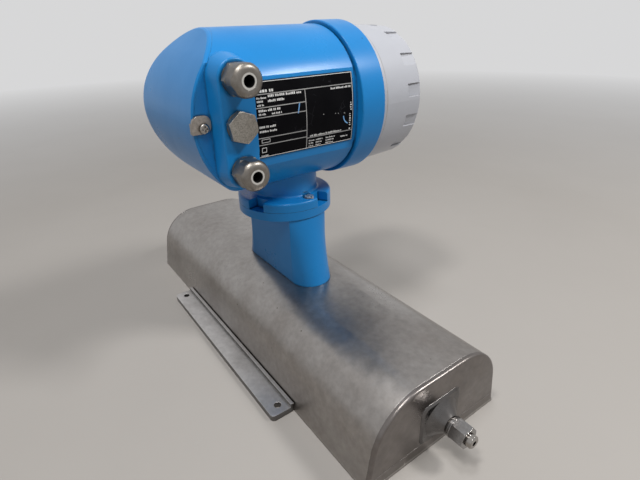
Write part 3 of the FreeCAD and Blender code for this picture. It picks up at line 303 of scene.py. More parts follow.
bluePaintLook = {
    "colour": rgb(0.009, 0.222, 0.580),
    "shade": rgb(0.007, 0.194, 0.515),
    "cloudScale": 16.0,
    "speckColour": rgb(0.012, 0.050, 0.120),
    "speckScale": 90.0,
    "speckShare": 0.14,
    "speckSize": 0.12,
    "roughness": (0.26, 0.38),
    "peelScale": 620.0,
    "peelStrength": 0.10,
    "peelDepth": 0.2 * mm,
    "edgeRadius": 0.5 * mm,
    "coat": 0.10,
    "coatRoughness": 0.20,
    "specular": 0.26,
    "scratch": 0.30,
    "scratchScale": 26.0,
    "scratchWidth": 0.006,
    "scratchShare": 0.40,
    "scratchColour": rgb(0.004, 0.110, 0.300),
    "edgeWearAndHighlight": 0.55,
    "edgeWearAndHighlightScale": 220.0,
    "edgeWearAndHighlightColour": rgb(0.090, 0.380, 0.760),
    "shadeAndDirt": 0.75,
    "shadeAndDirtReach": 3.0 * mm,
    "shadeAndDirtColour": rgb(0.006, 0.026, 0.060),
}
whitePaintLook = {
    **bluePaintLook,
    "colour": rgb(0.470, 0.484, 0.530),
    "shade": rgb(0.430, 0.443, 0.485),
    "speckColour": rgb(0.250, 0.250, 0.270),
    "speckShare": 0.06,
    "edgeRadius": 0.4 * mm,
    "coat": 0.08,
    "scratchColour": rgb(0.330, 0.335, 0.360),
    "seamOut": 6.6 * mm,  # of a fine darker line, from the housing's front
    "seamWidth": 1.0 * mm,  # to each side
    "seamScale": 90.0,
    "seamPatches": (0.35, 0.60, 0.30, 0.70),
    "seamColour": rgb(0.200, 0.172, 0.150),
    "edgeWearAndHighlightColour": rgb(0.740, 0.750, 0.780),
    "shadeAndDirt": 0.40,
    "shadeAndDirtReach": 2.0 * mm,
    "shadeAndDirtColour": rgb(0.230, 0.200, 0.160),
}


def addSeam(tree, place, tone, look):
    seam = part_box("transmitter_housing")[1].y + look["seamOut"]
    away = addGap(tree, addAxes(tree, place)["Y"], seam)
    line = addSpan(tree, away, look["seamWidth"], 0.0)
    broken = addSpan(tree, addNoise(tree, place, look["seamScale"], 3.0), *look["seamPatches"])
    return mixColour(tree, addMath(tree, "MULTIPLY", line, broken), tone, look["seamColour"])


def makePaint(name, look):
    material, tree, shader, place = newMaterial(name)
    cloud = addClouds(tree, place, look["cloudScale"])
    tone = mixColour(tree, cloud, look["colour"], look["shade"])
    tone = mixColour(tree, addSpecks(tree, place, look), tone, look["speckColour"])
    scuff = addMath(tree, "MULTIPLY", addScratches(tree, place, look), look["scratch"])
    tone = mixColour(tree, scuff, tone, look["scratchColour"])
    if "seamOut" in look:
        tone = addSeam(tree, place, tone, look)
    spreadRoughness(tree, shader, cloud, look["roughness"])
    peel = addNoise(tree, place, look["peelScale"], 1.0)
    edge = finishNormal(tree, shader, peel, look["peelStrength"], look["peelDepth"], look["edgeRadius"])
    feed(tree, shader.inputs["Base Color"], addWearHighlightDirtAndShade(tree, place, tone, edge, look))
    setPlain(shader, {"Coat Weight": look["coat"], "Coat Roughness": look["coatRoughness"],
                      "Specular IOR Level": look["specular"]})
    return material


steelSheetLook = {
    "colour": rgb(0.400, 0.382, 0.368),
    "shade": rgb(0.315, 0.296, 0.282),
    "cloudScale": 11.0,
    "smudge": rgb(0.200, 0.172, 0.150),
    "smudgeAmount": 0.45,
    "smudgeScale": 2.3,  # times the clouds' scale
    "mottle": 0.10,
    "mottleScale": 170.0,
    "speckColour": rgb(0.120, 0.105, 0.090),
    "speckScale": 120.0,
    "speckShare": 0.20,
    "speckSize": 0.11,
    "roughness": (0.27, 0.38),
    "grainRoughness": 0.12,  # that the grain adds and takes
    "grainScale": 900.0,
    "grainStretch": (0.35, 1.0, 1.0),
    "grainStrength": 0.14,
    "waveScale": 24.0,
    "waveHeight": 0.9 * mm,
    "edgeRadius": 0.5 * mm,
    "edgeWearAndHighlight": 0.60,
    "edgeWearAndHighlightScale": 180.0,
    "edgeWearAndHighlightColour": rgb(0.620, 0.610, 0.600),
    "shadeAndDirt": 0.65,
    "shadeAndDirtReach": 3.0 * mm,
    "shadeAndDirtColour": rgb(0.075, 0.062, 0.052),
}
# End plate steel: a darker copy of the casing steel, painted shade for the darker surroundings that the end
# faces reflect
shadedEndSteelLook = {
    **steelSheetLook,
    "colour": rgb(0.215, 0.197, 0.189),
    "shade": rgb(0.168, 0.153, 0.146),
    "cloudScale": 24.0,
    "smudgeAmount": 0.55,
}
# Port steel: a still darker copy of the end plate steel, painted shade
shadedPortSteelLook = {
    **shadedEndSteelLook,
    "colour": rgb(0.140, 0.135, 0.134),
    "shade": rgb(0.104, 0.099, 0.098),
    # pale specks: painted glints
    "speckColour": rgb(0.620, 0.640, 0.680),
    "speckScale": 260.0,
    "speckShare": 0.12,
    "waveHeight": 0.0,
    "edgeWearAndHighlight": 0.25,
}
barSteelLook = {
    **steelSheetLook,
    "colour": rgb(0.600, 0.585, 0.580),
    "shade": rgb(0.500, 0.486, 0.478),
    "cloudScale": 30.0,
    "smudgeAmount": 0.25,
    "roughness": (0.30, 0.40),
    "grainStretch": (0.08, 1.0, 1.0),
    "waveHeight": 0.3 * mm,
    "sideShade": 0.30,  # of the colour, on upright faces
    "sideTurn": (0.8, 0.3),  # upward share of a face's normal where that starts, and where it is full
}
turnedSteelLook = {
    **steelSheetLook,
    "colour": rgb(0.345, 0.342, 0.342),
    "shade": rgb(0.270, 0.266, 0.264),
    "cloudScale": 60.0,
    "mottleScale": 500.0,
    "speckShare": 0.10,
    "roughness": (0.14, 0.24),
    "waveHeight": 0.0,
    "edgeRadius": 0.3 * mm,
    "shadeAndDirtReach": 1.5 * mm,
}
polishedSteelLook = {
    **turnedSteelLook,
    "colour": rgb(0.400, 0.380, 0.356),
    "shade": rgb(0.320, 0.302, 0.280),
    "roughness": (0.10, 0.18),
}
# Lock screw steel: a much lighter copy of the turned steel, with little corner shade, a painted highlight on
# the lock screws
highlightedLockScrewLook = {
    **turnedSteelLook,
    "colour": rgb(0.860, 0.840, 0.810),
    "shade": rgb(0.720, 0.700, 0.670),
    "roughness": (0.42, 0.54),
    "shadeAndDirt": 0.15,
}
nickelLook = {
    **steelSheetLook,
    "colour": rgb(0.262, 0.245, 0.225),
    "shade": rgb(0.198, 0.184, 0.166),
    "cloudScale": 50.0,
    "smudge": rgb(0.170, 0.140, 0.105),
    "smudgeAmount": 0.55,
    "mottleScale": 420.0,
    "speckShare": 0.12,
    "roughness": (0.30, 0.42),
    "grainScale": 1500.0,
    "grainStretch": (1.0, 1.0, 1.0),
    "grainStrength": 0.20,
    "waveHeight": 0.0,
    "edgeRadius": 0.35 * mm,
    "edgeWearAndHighlight": 0.50,
    "edgeWearAndHighlightScale": 500.0,
    "edgeWearAndHighlightColour": rgb(0.760, 0.730, 0.690),
    "shadeAndDirt": 0.85,
    "shadeAndDirtReach": 1.6 * mm,
    "shadeAndDirtColour": rgb(0.070, 0.052, 0.036),
}
castNickelLook = {
    **nickelLook,
    "colour": rgb(0.325, 0.306, 0.276),
    "shade": rgb(0.258, 0.241, 0.214),
    "mottle": 0.30,
    "mottleScale": 900.0,
    "roughness": (0.34, 0.48),
    "grainScale": 900.0,
    "grainStrength": 0.80,
}
clampNickelLook = {
    **nickelLook,
    "colour": rgb(0.430, 0.396, 0.362),
    "shade": rgb(0.300, 0.262, 0.230),
    "mottle": 0.22,
}


def shadeSides(tree, tone, look):
    normal = addNode(tree, "TexCoord").outputs["Normal"]
    upward = addMath(tree, "ABSOLUTE", addAxes(tree, normal)["Z"], 0.0)
    shaded = addSpan(tree, upward, *look["sideTurn"], 1.0, look["sideShade"])
    return mixColour(tree, 1.0, tone, shaded, "MULTIPLY")


def addGrain(tree, place, look, latheCentre):
    if latheCentre is None:
        drawn = addNode(tree, "Mapping", {"Vector": place, "Scale": look["grainStretch"]})
        return addNoise(tree, drawn, look["grainScale"], 3.0, 0.6)
    centred = addNode(tree, "Mapping", {"Vector": place, "Location": -Vector(latheCentre)})
    return addGroup(tree, latheLines, {"Vector": centred})


def makeMetal(name, look, latheCentre=None):
    material, tree, shader, place = newMaterial(name)
    cloud = addClouds(tree, place, look["cloudScale"])
    smudge = addClouds(tree, place, look["smudgeScale"] * look["cloudScale"])
    tone = mixColour(tree, cloud, look["colour"], look["shade"])
    both = addMath(tree, "MULTIPLY", addMath(tree, "MULTIPLY", cloud, smudge), look["smudgeAmount"])
    tone = mixColour(tree, both, tone, look["smudge"])
    tone = mixColour(tree, addSpecks(tree, place, look), tone, look["speckColour"])
    mottle = addNoise(tree, place, look["mottleScale"], 3.0, 0.6)
    uneven = addSpan(tree, mottle, *effects["noiseSpan"], 1.0 - look["mottle"], 1.0 + look["mottle"])
    tone = mixColour(tree, 1.0, tone, uneven, "MULTIPLY")
    if "sideShade" in look:
        tone = shadeSides(tree, tone, look)
    grain = addGrain(tree, place, look, latheCentre)
    weighted = addMath(tree, "MULTIPLY", addMath(tree, "SUBTRACT", grain, 0.5), look["grainRoughness"])
    rough = addMath(tree, "ADD", addSpan(tree, cloud, 0.0, 1.0, *look["roughness"]), weighted)
    feed(tree, shader.inputs["Roughness"], rough)
    wave = addNoise(tree, place, look["waveScale"], 2.0) if look["waveHeight"] > 0.0 else None
    edge = finishNormal(tree, shader, grain, look["grainStrength"], grainDepth, look["edgeRadius"], wave,
                        look["waveHeight"])
    feed(tree, shader.inputs["Base Color"], addWearHighlightDirtAndShade(tree, place, tone, edge, look))
    setPlain(shader, {"Metallic": 1.0})
    return material


mouldedLook = {
    "cloudScale": 45.0,
    "grainScale": 900.0,
    "grainStrength": 0.15,
}


def makeMoulded(name, colour, shade, roughness):
    material, tree, shader, place = newMaterial(name)
    cloud = addClouds(tree, place, mouldedLook["cloudScale"])
    feed(tree, shader.inputs["Base Color"], mixColour(tree, cloud, colour, shade))
    spreadRoughness(tree, shader, cloud, roughness)
    grain = addNoise(tree, place, mouldedLook["grainScale"], 2.0)
    finishNormal(tree, shader, grain, mouldedLook["grainStrength"], grainDepth, smallEdge)
    return material


labelPlateLook = {
    "colour": rgb(0.0022, 0.0022, 0.0030),
    "shade": rgb(0.004, 0.004, 0.005),
    "cloudScale": 60.0,
    "scratchColour": rgb(0.020, 0.020, 0.024),
    "scratchScale": 70.0,
    "scratchWidth": 0.015,
    "scratchShare": 0.42,
    "roughness": (0.32, 0.46),
    "grainScale": 1800.0,
    "grainStrength": 0.08,
    "specular": 0.04,
}


def makeLabelPlate(look):
    material, tree, shader, place = newMaterial("labelPlate")
    cloud = addClouds(tree, place, look["cloudScale"])
    black = mixColour(tree, cloud, look["colour"], look["shade"])
    scuff = addScratches(tree, place, look)
    feed(tree, shader.inputs["Base Color"], mixColour(tree, scuff, black, look["scratchColour"]))
    spreadRoughness(tree, shader, cloud, look["roughness"])
    grain = addNoise(tree, place, look["grainScale"], 2.0)
    finishNormal(tree, shader, grain, look["grainStrength"], grainDepth, smallEdge)
    setPlain(shader, {"Specular IOR Level": look["specular"]})
    return material


# Cable seals: a pale front ring round a black bore
cableSealLook = {
    "ring": rgb(0.560, 0.550, 0.520),
    "bore": rgb(0.006, 0.006, 0.006),
    "wall": 1.5 * mm,
    "blur": 0.15 * mm,
    "cloudScale": 200.0,
    "roughness": (0.5, 0.65),
    "grainStrength": 0.15,
}


def makeCableSeal(look):
    material, tree, shader, place = newMaterial("cableSealRubber")
    upperLow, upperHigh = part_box("upper_cable_seal")
    lowerLow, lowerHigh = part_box("lower_cable_seal")
    middle = (upperLow + upperHigh + lowerLow + lowerHigh) / 4
    pitch = (upperLow.z + upperHigh.z - lowerLow.z - lowerHigh.z) / 4
    spot = addAxes(tree, place)
    rise = addGap(tree, spot["Z"], middle.z)  # folds the lower seal onto the upper one
    flat = addNode(tree, "CombineXYZ", {0: addMath(tree, "SUBTRACT", spot["Y"], middle.y),
                                        1: addMath(tree, "SUBTRACT", rise, pitch)})
    inner = (upperHigh.y - upperLow.y) / 2 - look["wall"]
    ring = addSpan(tree, addLength(tree, flat), inner, inner + look["blur"])
    feed(tree, shader.inputs["Base Color"], mixColour(tree, ring, look["bore"], look["ring"]))
    cloud = addClouds(tree, place, look["cloudScale"])
    spreadRoughness(tree, shader, cloud, look["roughness"])
    finishNormal(tree, shader, cloud, look["grainStrength"], grainDepth, smallEdge)
    return material


glassLook = {
    "colour": rgb(0.93, 0.96, 0.95),
    "shade": rgb(0.90, 0.94, 0.93),
    "cloudScale": 40.0,
    "smears": (0.5, 1.0, 0.0, 0.05),  # span of the clouds, then of the roughness
    "ior": 1.5,
}


def makeGlass(look):
    material, tree, shader, place = newMaterial("windowGlass")
    cloud = addClouds(tree, place, look["cloudScale"])
    feed(tree, shader.inputs["Base Color"], mixColour(tree, cloud, look["colour"], look["shade"]))
    feed(tree, shader.inputs["Roughness"], addSpan(tree, cloud, *look["smears"]))
    setPlain(shader, {"Transmission Weight": 1.0, "IOR": look["ior"]})
    return material


boardLook = {
    "colour": rgb(0.012, 0.120, 0.055),
    "shade": rgb(0.018, 0.165, 0.075),
    "track": rgb(0.030, 0.240, 0.110),
    "trackScale": 160.0,
    "trackWidth": 0.012,
    "trackStrength": 0.2,
    "pad": rgb(0.60, 0.55, 0.42),
    "speckScale": 260.0,  # of the pads, as the next two
    "speckShare": 0.3,
    "speckSize": 0.5,
    "roughness": (0.38, 0.28),
}


def makeBoard(look):
    material, tree, shader, place = newMaterial("circuitBoard")
    turned = addNode(tree, "Mapping", {"Vector": place, "Rotation": (math.pi / 2, 0.0, 0.0)})
    tracks = addNode(tree, "TexBrick", {"Vector": turned, "Scale": look["trackScale"],
                                        "Mortar Size": look["trackWidth"], "Mortar": look["track"],
                                        "Color1": look["colour"], "Color2": look["shade"]})
    pads = addSpecks(tree, place, look)
    feed(tree, shader.inputs["Base Color"], mixColour(tree, pads, tracks, look["pad"]))
    spreadRoughness(tree, shader, pads, look["roughness"])
    finishNormal(tree, shader, tracks.outputs["Fac"], look["trackStrength"], grainDepth, smallEdge)
    return material


coilLook = {
    "groove": rgb(0.34, 0.14, 0.05),
    "wire": rgb(0.74, 0.38, 0.17),
    "turnScale": 900.0,
    "turnDistortion": 0.4,
    "turnStrength": 0.5,
    "turnDepth": 0.2 * mm,
    "roughness": (0.42, 0.28),
}


def makeCoil(look):
    material, tree, shader, place = newMaterial("copperWinding")
    inputs = {"Vector": place, "Scale": look["turnScale"], "Distortion": look["turnDistortion"]}
    turns = addNode(tree, "TexWave", inputs, bands_direction="Z")
    feed(tree, shader.inputs["Base Color"], mixColour(tree, turns, look["groove"], look["wire"]))
    spreadRoughness(tree, shader, turns, look["roughness"])
    finishNormal(tree, shader, turns, look["turnStrength"], look["turnDepth"], smallEdge)
    setPlain(shader, {"Metallic": 1.0})
    return material


screenLook = {
    "colour": rgb(0.30, 0.34, 0.27),
    "shade": rgb(0.26, 0.30, 0.24),
    "cloudScale": 30.0,
    "roughness": (0.18, 0.28),
}


def makeScreen(look):
    material, tree, shader, place = newMaterial("displayScreen")
    cloud = addClouds(tree, place, look["cloudScale"])
    feed(tree, shader.inputs["Base Color"], mixColour(tree, cloud, look["colour"], look["shade"]))
    spreadRoughness(tree, shader, cloud, look["roughness"])
    return material


nutLow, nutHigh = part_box("inlet_port_nut")
portAxis = (0.0, 0.0, 0.5 * (nutLow.z + nutHigh.z))
bluePaint = makePaint("bluePaint", bluePaintLook)
whitePaint = makePaint("whitePaint", whitePaintLook)
steelSheet = makeMetal("steelSheet", steelSheetLook)
shadedEndSteel = makeMetal("shadedEndSteel", shadedEndSteelLook)
shadedPortSteel = makeMetal("shadedPortSteel", shadedPortSteelLook)
barSteel = makeMetal("barSteel", barSteelLook)
turnedSteel = makeMetal("turnedSteel", turnedSteelLook, portAxis)
polishedSteel = makeMetal("polishedSteel", polishedSteelLook, portAxis)
nickel = makeMetal("nickel", nickelLook)
castNickel = makeMetal("castNickel", castNickelLook)
clampNickel = makeMetal("clampNickel", clampNickelLook)
screwSteel = makeMetal("screwSteel", polishedSteelLook)
highlightedLockSteel = makeMetal("highlightedLockSteel", highlightedLockScrewLook)
# colour, shade, then the span of the roughness
magnetSteel = makeMoulded("magnetSteel", rgb(0.16, 0.16, 0.17), rgb(0.11, 0.11, 0.12), (0.35, 0.5))
blackRubber = makeMoulded("blackRubber", rgb(0.020, 0.020, 0.021), rgb(0.030, 0.030, 0.030), (0.6, 0.75))
fibreWasher = makeMoulded("fibreWasher", rgb(0.120, 0.105, 0.082), rgb(0.080, 0.068, 0.052), (0.6, 0.75))
darkPlastic = makeMoulded("darkPlastic", rgb(0.035, 0.036, 0.040), rgb(0.050, 0.051, 0.055), (0.4, 0.55))
palePlastic = makeMoulded("palePlastic", rgb(0.56, 0.56, 0.53), rgb(0.49, 0.49, 0.46), (0.42, 0.55))
labelInk = makeMoulded("labelInk", rgb(0.78, 0.78, 0.78), rgb(0.62, 0.62, 0.62), (0.4, 0.55))
labelRule = makeMoulded("labelRule", rgb(0.38, 0.38, 0.38), rgb(0.28, 0.28, 0.28), (0.4, 0.55))
blueMark = makeMoulded("blueMark", rgb(0.20, 0.46, 0.78), rgb(0.10, 0.26, 0.60), (0.4, 0.55))
labelPlate = makeLabelPlate(labelPlateLook)
cableSealRubber = makeCableSeal(cableSealLook)
windowGlass = makeGlass(glassLook)
circuitBoard = makeBoard(boardLook)
copperWinding = makeCoil(coilLook)
displayScreen = makeScreen(screenLook)

finishOf = {
    bluePaint: ["pedestal", "transmitter_housing", "terminal_cover"],
    whitePaint: ["front_cover"],
    steelSheet: ["casing_hood", "base_plate"],
    shadedEndSteel: ["inlet_end_plate", "outlet_end_plate"],
    shadedPortSteel: ["inlet_port", "outlet_port"],
    barSteel: ["front_mounting_bar", "rear_mounting_bar", "tube_carrier"],
    turnedSteel: ["inlet_port_nut", "outlet_port_nut", "measuring_tube",
                  "inlet_tube_clamp", "outlet_tube_clamp", "swivel_retaining_ring", "window_retaining_ring",
                  "coil_board_pillars", "board_stack_posts", "feedthrough"],
    polishedSteel: ["inlet_port_stub", "outlet_port_stub"],
    nickel: ["upper_gland_body", "upper_gland_nut", "lower_gland_body", "lower_gland_nut"],
    castNickel: ["blanking_plug"],
    clampNickel: ["cover_clamp"],
    screwSteel: ["cover_clamp_screw"],
    highlightedLockSteel: ["swivel_lock_screws"],
    magnetSteel: ["drive_magnet", "pickup_magnets"],
    blackRubber: ["port_seals", "swivel_seal", "terminal_cover_seal", "front_cover_seal", "window_seal"],
    fibreWasher: ["entry_washers"],
    cableSealRubber: ["upper_cable_seal", "lower_cable_seal"],
    darkPlastic: ["display_module", "temperature_sensor", "signal_lead"],
    palePlastic: ["terminal_block"],
    labelPlate: ["nameplate"],
    windowGlass: ["window_glass"],
    circuitBoard: ["coil_board", "power_supply_board", "input_output_board", "amplifier_board"],
    copperWinding: ["drive_coil", "pickup_coils"],
}
for material, names in finishOf.items():
    for name in names:
        nodes[name].data.materials.clear()
        nodes[name].data.materials.append(material)
print("finishes on", sum(len(names) for names in finishOf.values()), "nodes")

# Piece helpers
sharpAngle = math.radians(35)
mergeDistance = 0.001 * mm


def addPiece(name, mesh, material, body):
    bmesh.ops.recalc_face_normals(mesh, faces=mesh.faces)
    data = bpy.data.meshes.new(name)
    mesh.to_mesh(data)
    mesh.free()
    data.materials.append(material)
    data.shade_smooth()
    data.set_sharp_from_angle(angle=sharpAngle)
    piece = bpy.data.objects.new(name, data)
    bpy.context.collection.objects.link(piece)
    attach(piece, body)


def thicken(mesh, thickness):
    grown = bmesh.ops.extrude_face_region(mesh, geom=mesh.faces[:])
    raised = [item for item in grown["geom"] if isinstance(item, bmesh.types.BMVert)]
    bmesh.ops.translate(mesh, verts=raised, vec=(0.0, 0.0, thickness))


# Nameplate print: plain bars, rules and boxes, laid flat and then bent to the plate
labelPrint = {
    "radius": 150.05 * mm,  # of the plate's outer face
    "lift": 0.01 * mm,
    "thickness": 0.06 * mm,
    "bendStep": 3.0 * mm,  # height of a face, so that tall bars bend with the plate
    "borderInset": 0.6 * mm,
    "borderWidth": 0.5 * mm,
    "ruleWidth": 0.7 * mm,
    "ruleStart": 0.4 * mm,
    "divider": 0.478,  # share of the width
    "topRule": 0.828,  # shares of the height, as the next two
    "leftRules": (0.664, 0.542, 0.274, 0.180),
    "rightRule": 0.158,
    "seed": 7,
    "groupBars": (2, 6),
    "barWidths": (0.45, 0.75),  # shares of the row's height, as the next three
    "barHeights": (0.72, 1.0, 1.0),
    "barGap": 0.22,
    "groupGap": 0.5,
    "columnWidth": 1.6 * mm,
    "columnBars": (0.72, 1.0),  # shares of the column's width, as the next one
    "columnGaps": (0.6, 0.6, 1.5),
    "rows": [  # left, right and base as shares of the plate, then height in millimetres
        (0.030, 0.175, 0.855, 2.7),
        (0.020, 0.105, 0.778, 1.4), (0.125, 0.445, 0.790, 1.8),
        (0.020, 0.070, 0.735, 1.4), (0.120, 0.275, 0.730, 1.8),
        (0.020, 0.075, 0.690, 1.3),
        (0.025, 0.225, 0.618, 1.7),
        (0.025, 0.090, 0.575, 1.4), (0.145, 0.235, 0.570, 1.4),
        (0.020, 0.170, 0.410, 1.6), (0.020, 0.170, 0.352, 1.6),
        (0.030, 0.095, 0.022, 1.1),
        (0.750, 0.970, 0.783, 1.5),
        (0.515, 0.860, 0.176, 1.4),
        (0.505, 0.560, 0.108, 1.1), (0.580, 0.650, 0.108, 1.1), (0.690, 0.795, 0.108, 1.1),
        (0.505, 0.560, 0.068, 1.1), (0.580, 0.650, 0.068, 1.1), (0.690, 0.780, 0.068, 1.1),
        (0.505, 0.560, 0.030, 1.1), (0.580, 0.640, 0.030, 1.1), (0.690, 0.775, 0.030, 1.1),
        (0.860, 0.945, 0.078, 1.3),
    ],
    "columns": [(0.962, 0.462, 0.596), (0.952, 0.180, 0.410)],  # left, base and top as shares
    "boxes": [  # left and base as shares, then width, height and line in millimetres
        (0.035, 0.213, 7.6, 2.8, 0.35),
        (0.035, 0.076, 4.4, 4.2, 0.5),
    ],
}
plateLow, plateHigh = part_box("nameplate")
coverLow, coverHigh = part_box("front_cover")
bodyAxis = 0.5 * (coverLow.z + coverHigh.z)
plateRadius = labelPrint["radius"]
plateAxis = plateHigh.x - plateRadius
plateStart = math.asin((plateLow.z - bodyAxis) / plateRadius)
plateEnd = math.asin((plateHigh.z - bodyAxis) / plateRadius)
plateWidth = plateHigh.y - plateLow.y
plateHeight = (plateEnd - plateStart) * plateRadius


def wrapOnPlate(mesh):
    for vert in mesh.verts:
        across, up, lift = vert.co
        angle = plateStart + up / plateRadius
        reach = plateRadius + labelPrint["lift"] + lift
        rise = reach * math.sin(angle)
        vert.co = (plateAxis + reach * math.cos(angle), plateLow.y + across, bodyAxis + rise)


def layOnPlate(name, mesh, material):
    thicken(mesh, labelPrint["thickness"])
    wrapOnPlate(mesh)
    addPiece(name, mesh, material, "transmitter")


def flatBar(mesh, left, bottom, width, height):
    place = Matrix.Translation((left + width / 2, bottom + height / 2, 0.0))
    size = Matrix.Diagonal((width, height, 1.0, 1.0))
    steps = max(1, round(height / labelPrint["bendStep"]))
    bmesh.ops.create_grid(mesh, x_segments=1, y_segments=steps, size=0.5, matrix=place @ size)


def printRow(mesh, draw, left, right, bottom, height):
    place = left
    while place < right:
        for bar in range(draw.randint(*labelPrint["groupBars"])):
            wide = height * draw.uniform(*labelPrint["barWidths"])
            flatBar(mesh, place, bottom, wide, height * draw.choice(labelPrint["barHeights"]))
            place += wide + labelPrint["barGap"] * height
            if place > right:
                break
        place += labelPrint["groupGap"] * height


def printColumn(mesh, draw, left, bottom, top):
    width = labelPrint["columnWidth"]
    place = bottom
    while place < top:
        tall = width * draw.uniform(*labelPrint["barWidths"])
        flatBar(mesh, left, place, width * draw.choice(labelPrint["columnBars"]), tall)
        place += tall + width * draw.choice(labelPrint["columnGaps"])


def outlineBox(mesh, left, bottom, width, height, line):
    flatBar(mesh, left, bottom, width, line)
    flatBar(mesh, left, bottom + height - line, width, line)
    flatBar(mesh, left, bottom + line, line, height - 2 * line)
    flatBar(mesh, left + width - line, bottom + line, line, height - 2 * line)


def makeLabelBars():
    mesh = bmesh.new()
    draw = random.Random(labelPrint["seed"])
    for left, right, base, height in labelPrint["rows"]:
        printRow(mesh, draw, left * plateWidth, right * plateWidth, base * plateHeight, height * mm)
    for left, base, top in labelPrint["columns"]:
        printColumn(mesh, draw, left * plateWidth, base * plateHeight, top * plateHeight)
    for left, base, width, height, line in labelPrint["boxes"]:
        outlineBox(mesh, left * plateWidth, base * plateHeight, width * mm, height * mm, line * mm)
    layOnPlate("label_print", mesh, labelInk)


def makeLabelRules():
    mesh = bmesh.new()
    line = labelPrint["ruleWidth"]
    start = labelPrint["ruleStart"]
    edge = labelPrint["borderInset"] + labelPrint["borderWidth"]
    split = labelPrint["divider"] * plateWidth
    top = labelPrint["topRule"] * plateHeight
    low = labelPrint["rightRule"] * plateHeight
    flatBar(mesh, start, top, plateWidth - start - edge, line)
    for share in labelPrint["leftRules"]:
        flatBar(mesh, start, share * plateHeight, split - start, line)
    flatBar(mesh, split + line, low, plateWidth - split - line - edge, line)
    flatBar(mesh, split, edge, line, top - edge)
    layOnPlate("label_rules", mesh, labelRule)


def makeLabelBorder():
    mesh = bmesh.new()
    inset, line, start = (labelPrint[key] for key in ("borderInset", "borderWidth", "ruleStart"))
    length = plateWidth - start - inset
    flatBar(mesh, start, inset, length, line)
    flatBar(mesh, start, plateHeight - inset - line, length, line)
    flatBar(mesh, plateWidth - inset - line, inset + line, line, plateHeight - 2 * (inset + line))
    layOnPlate("label_border", mesh, labelInk)


# Two stray blue strokes on the plate, one straight and one hooked, with a few pale dots
labelMarks = {  # millimetres, across and up the plate
    "strokeFrom": (38.23, 31.25),
    "strokeTo": (40.02, 39.15),
    "strokeWidth": 1.0,
    "strokeSteps": 8,
    "hookCentre": (92.06, 23.09),
    "hookRadius": 7.2,
    "hookFrom": 180.0,  # degrees, as the next one
    "hookTurn": 72.0,
    "hookSteps": 12,
    "dots": [(76.0, 26.4), (79.2, 26.0), (63.4, 27.3), (85.6, 25.6), (86.2, 25.4)],
    "dotRadius": 0.45,
    "dotSides": 8,
}


def drawStroke(mesh):
    start, end = (Vector((*labelMarks[key], 0.0)) * mm for key in ("strokeFrom", "strokeTo"))
    run = end - start
    turn = Matrix.Rotation(math.atan2(run.y, run.x), 4, "Z")
    size = Matrix.Diagonal((run.length, labelMarks["strokeWidth"] * mm, 1.0, 1.0))
    place = Matrix.Translation((start + end) / 2) @ turn @ size
    bmesh.ops.create_grid(mesh, x_segments=labelMarks["strokeSteps"], y_segments=1, size=0.5, matrix=place)


def drawHook(mesh):
    centre = Vector((*labelMarks["hookCentre"], 0.0)) * mm
    reach = labelMarks["hookRadius"] * mm
    half = labelMarks["strokeWidth"] * mm / 2
    bearing = math.radians(labelMarks["hookFrom"])
    outward = Vector((math.cos(bearing), math.sin(bearing), 0.0))
    ends = [mesh.verts.new(centre + outward * (reach + side * half)) for side in (-1, 1)]
    edge = mesh.edges.new(ends)
    bmesh.ops.spin(mesh, geom=ends + [edge], cent=centre, axis=(0.0, 0.0, 1.0), dvec=(0.0, 0.0, 0.0),
                   angle=math.radians(labelMarks["hookTurn"]), steps=labelMarks["hookSteps"],
                   use_duplicate=False)


def makeLabelStrokes():
    mesh = bmesh.new()
    drawStroke(mesh)
    drawHook(mesh)
    for face in mesh.faces:
        if face.normal.z < 0:
            face.normal_flip()
    layOnPlate("label_strokes", mesh, blueMark)


def makeLabelDots():
    mesh = bmesh.new()
    sides = labelMarks["dotSides"]
    radius = labelMarks["dotRadius"] * mm
    for across, up in labelMarks["dots"]:
        place = Matrix.Translation((across * mm, up * mm, 0.0))
        bmesh.ops.create_circle(mesh, cap_ends=True, segments=sides, radius=radius, matrix=place)
    layOnPlate("label_dots", mesh, labelRule)


makeLabelBars()
makeLabelRules()
makeLabelBorder()
makeLabelStrokes()
makeLabelDots()
print("nameplate print wrapped")

# Seam across each end plate, just above the base
endSeam = {
    "height": 12.0 * mm,
    "width": 0.8 * mm,
    "proud": 0.12 * mm,
    "margin": 4.0 * mm,
    "bevel": 0.8,  # share of how proud it stands
    "bevelSteps": 3,
}


def makeEndSeam(name, node, side):
    low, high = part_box(node)
    face = high.x if side > 0 else low.x
    proud = endSeam["proud"]
    mesh = bmesh.new()
    length = high.y - low.y - 2 * endSeam["margin"]
    size = Matrix.Diagonal((proud, length, endSeam["width"], 1.0))
    place = Matrix.Translation((face + side * proud / 2, 0.0, endSeam["height"]))
    bmesh.ops.create_cube(mesh, size=1.0, matrix=place @ size)
    outer = [edge for edge in mesh.edges
             if all((vert.co.x - face) * side > proud / 2 for vert in edge.verts)]
    bmesh.ops.bevel(mesh, geom=outer, offset=endSeam["bevel"] * proud, segments=endSeam["bevelSteps"],
                    profile=0.5, affect="EDGES", material=-1)
    addPiece(name, mesh, shadedEndSteel, "sensor")


makeEndSeam("inlet_end_seam", "inlet_end_plate", 1)
makeEndSeam("outlet_end_seam", "outlet_end_plate", -1)
print("casing seams laid")

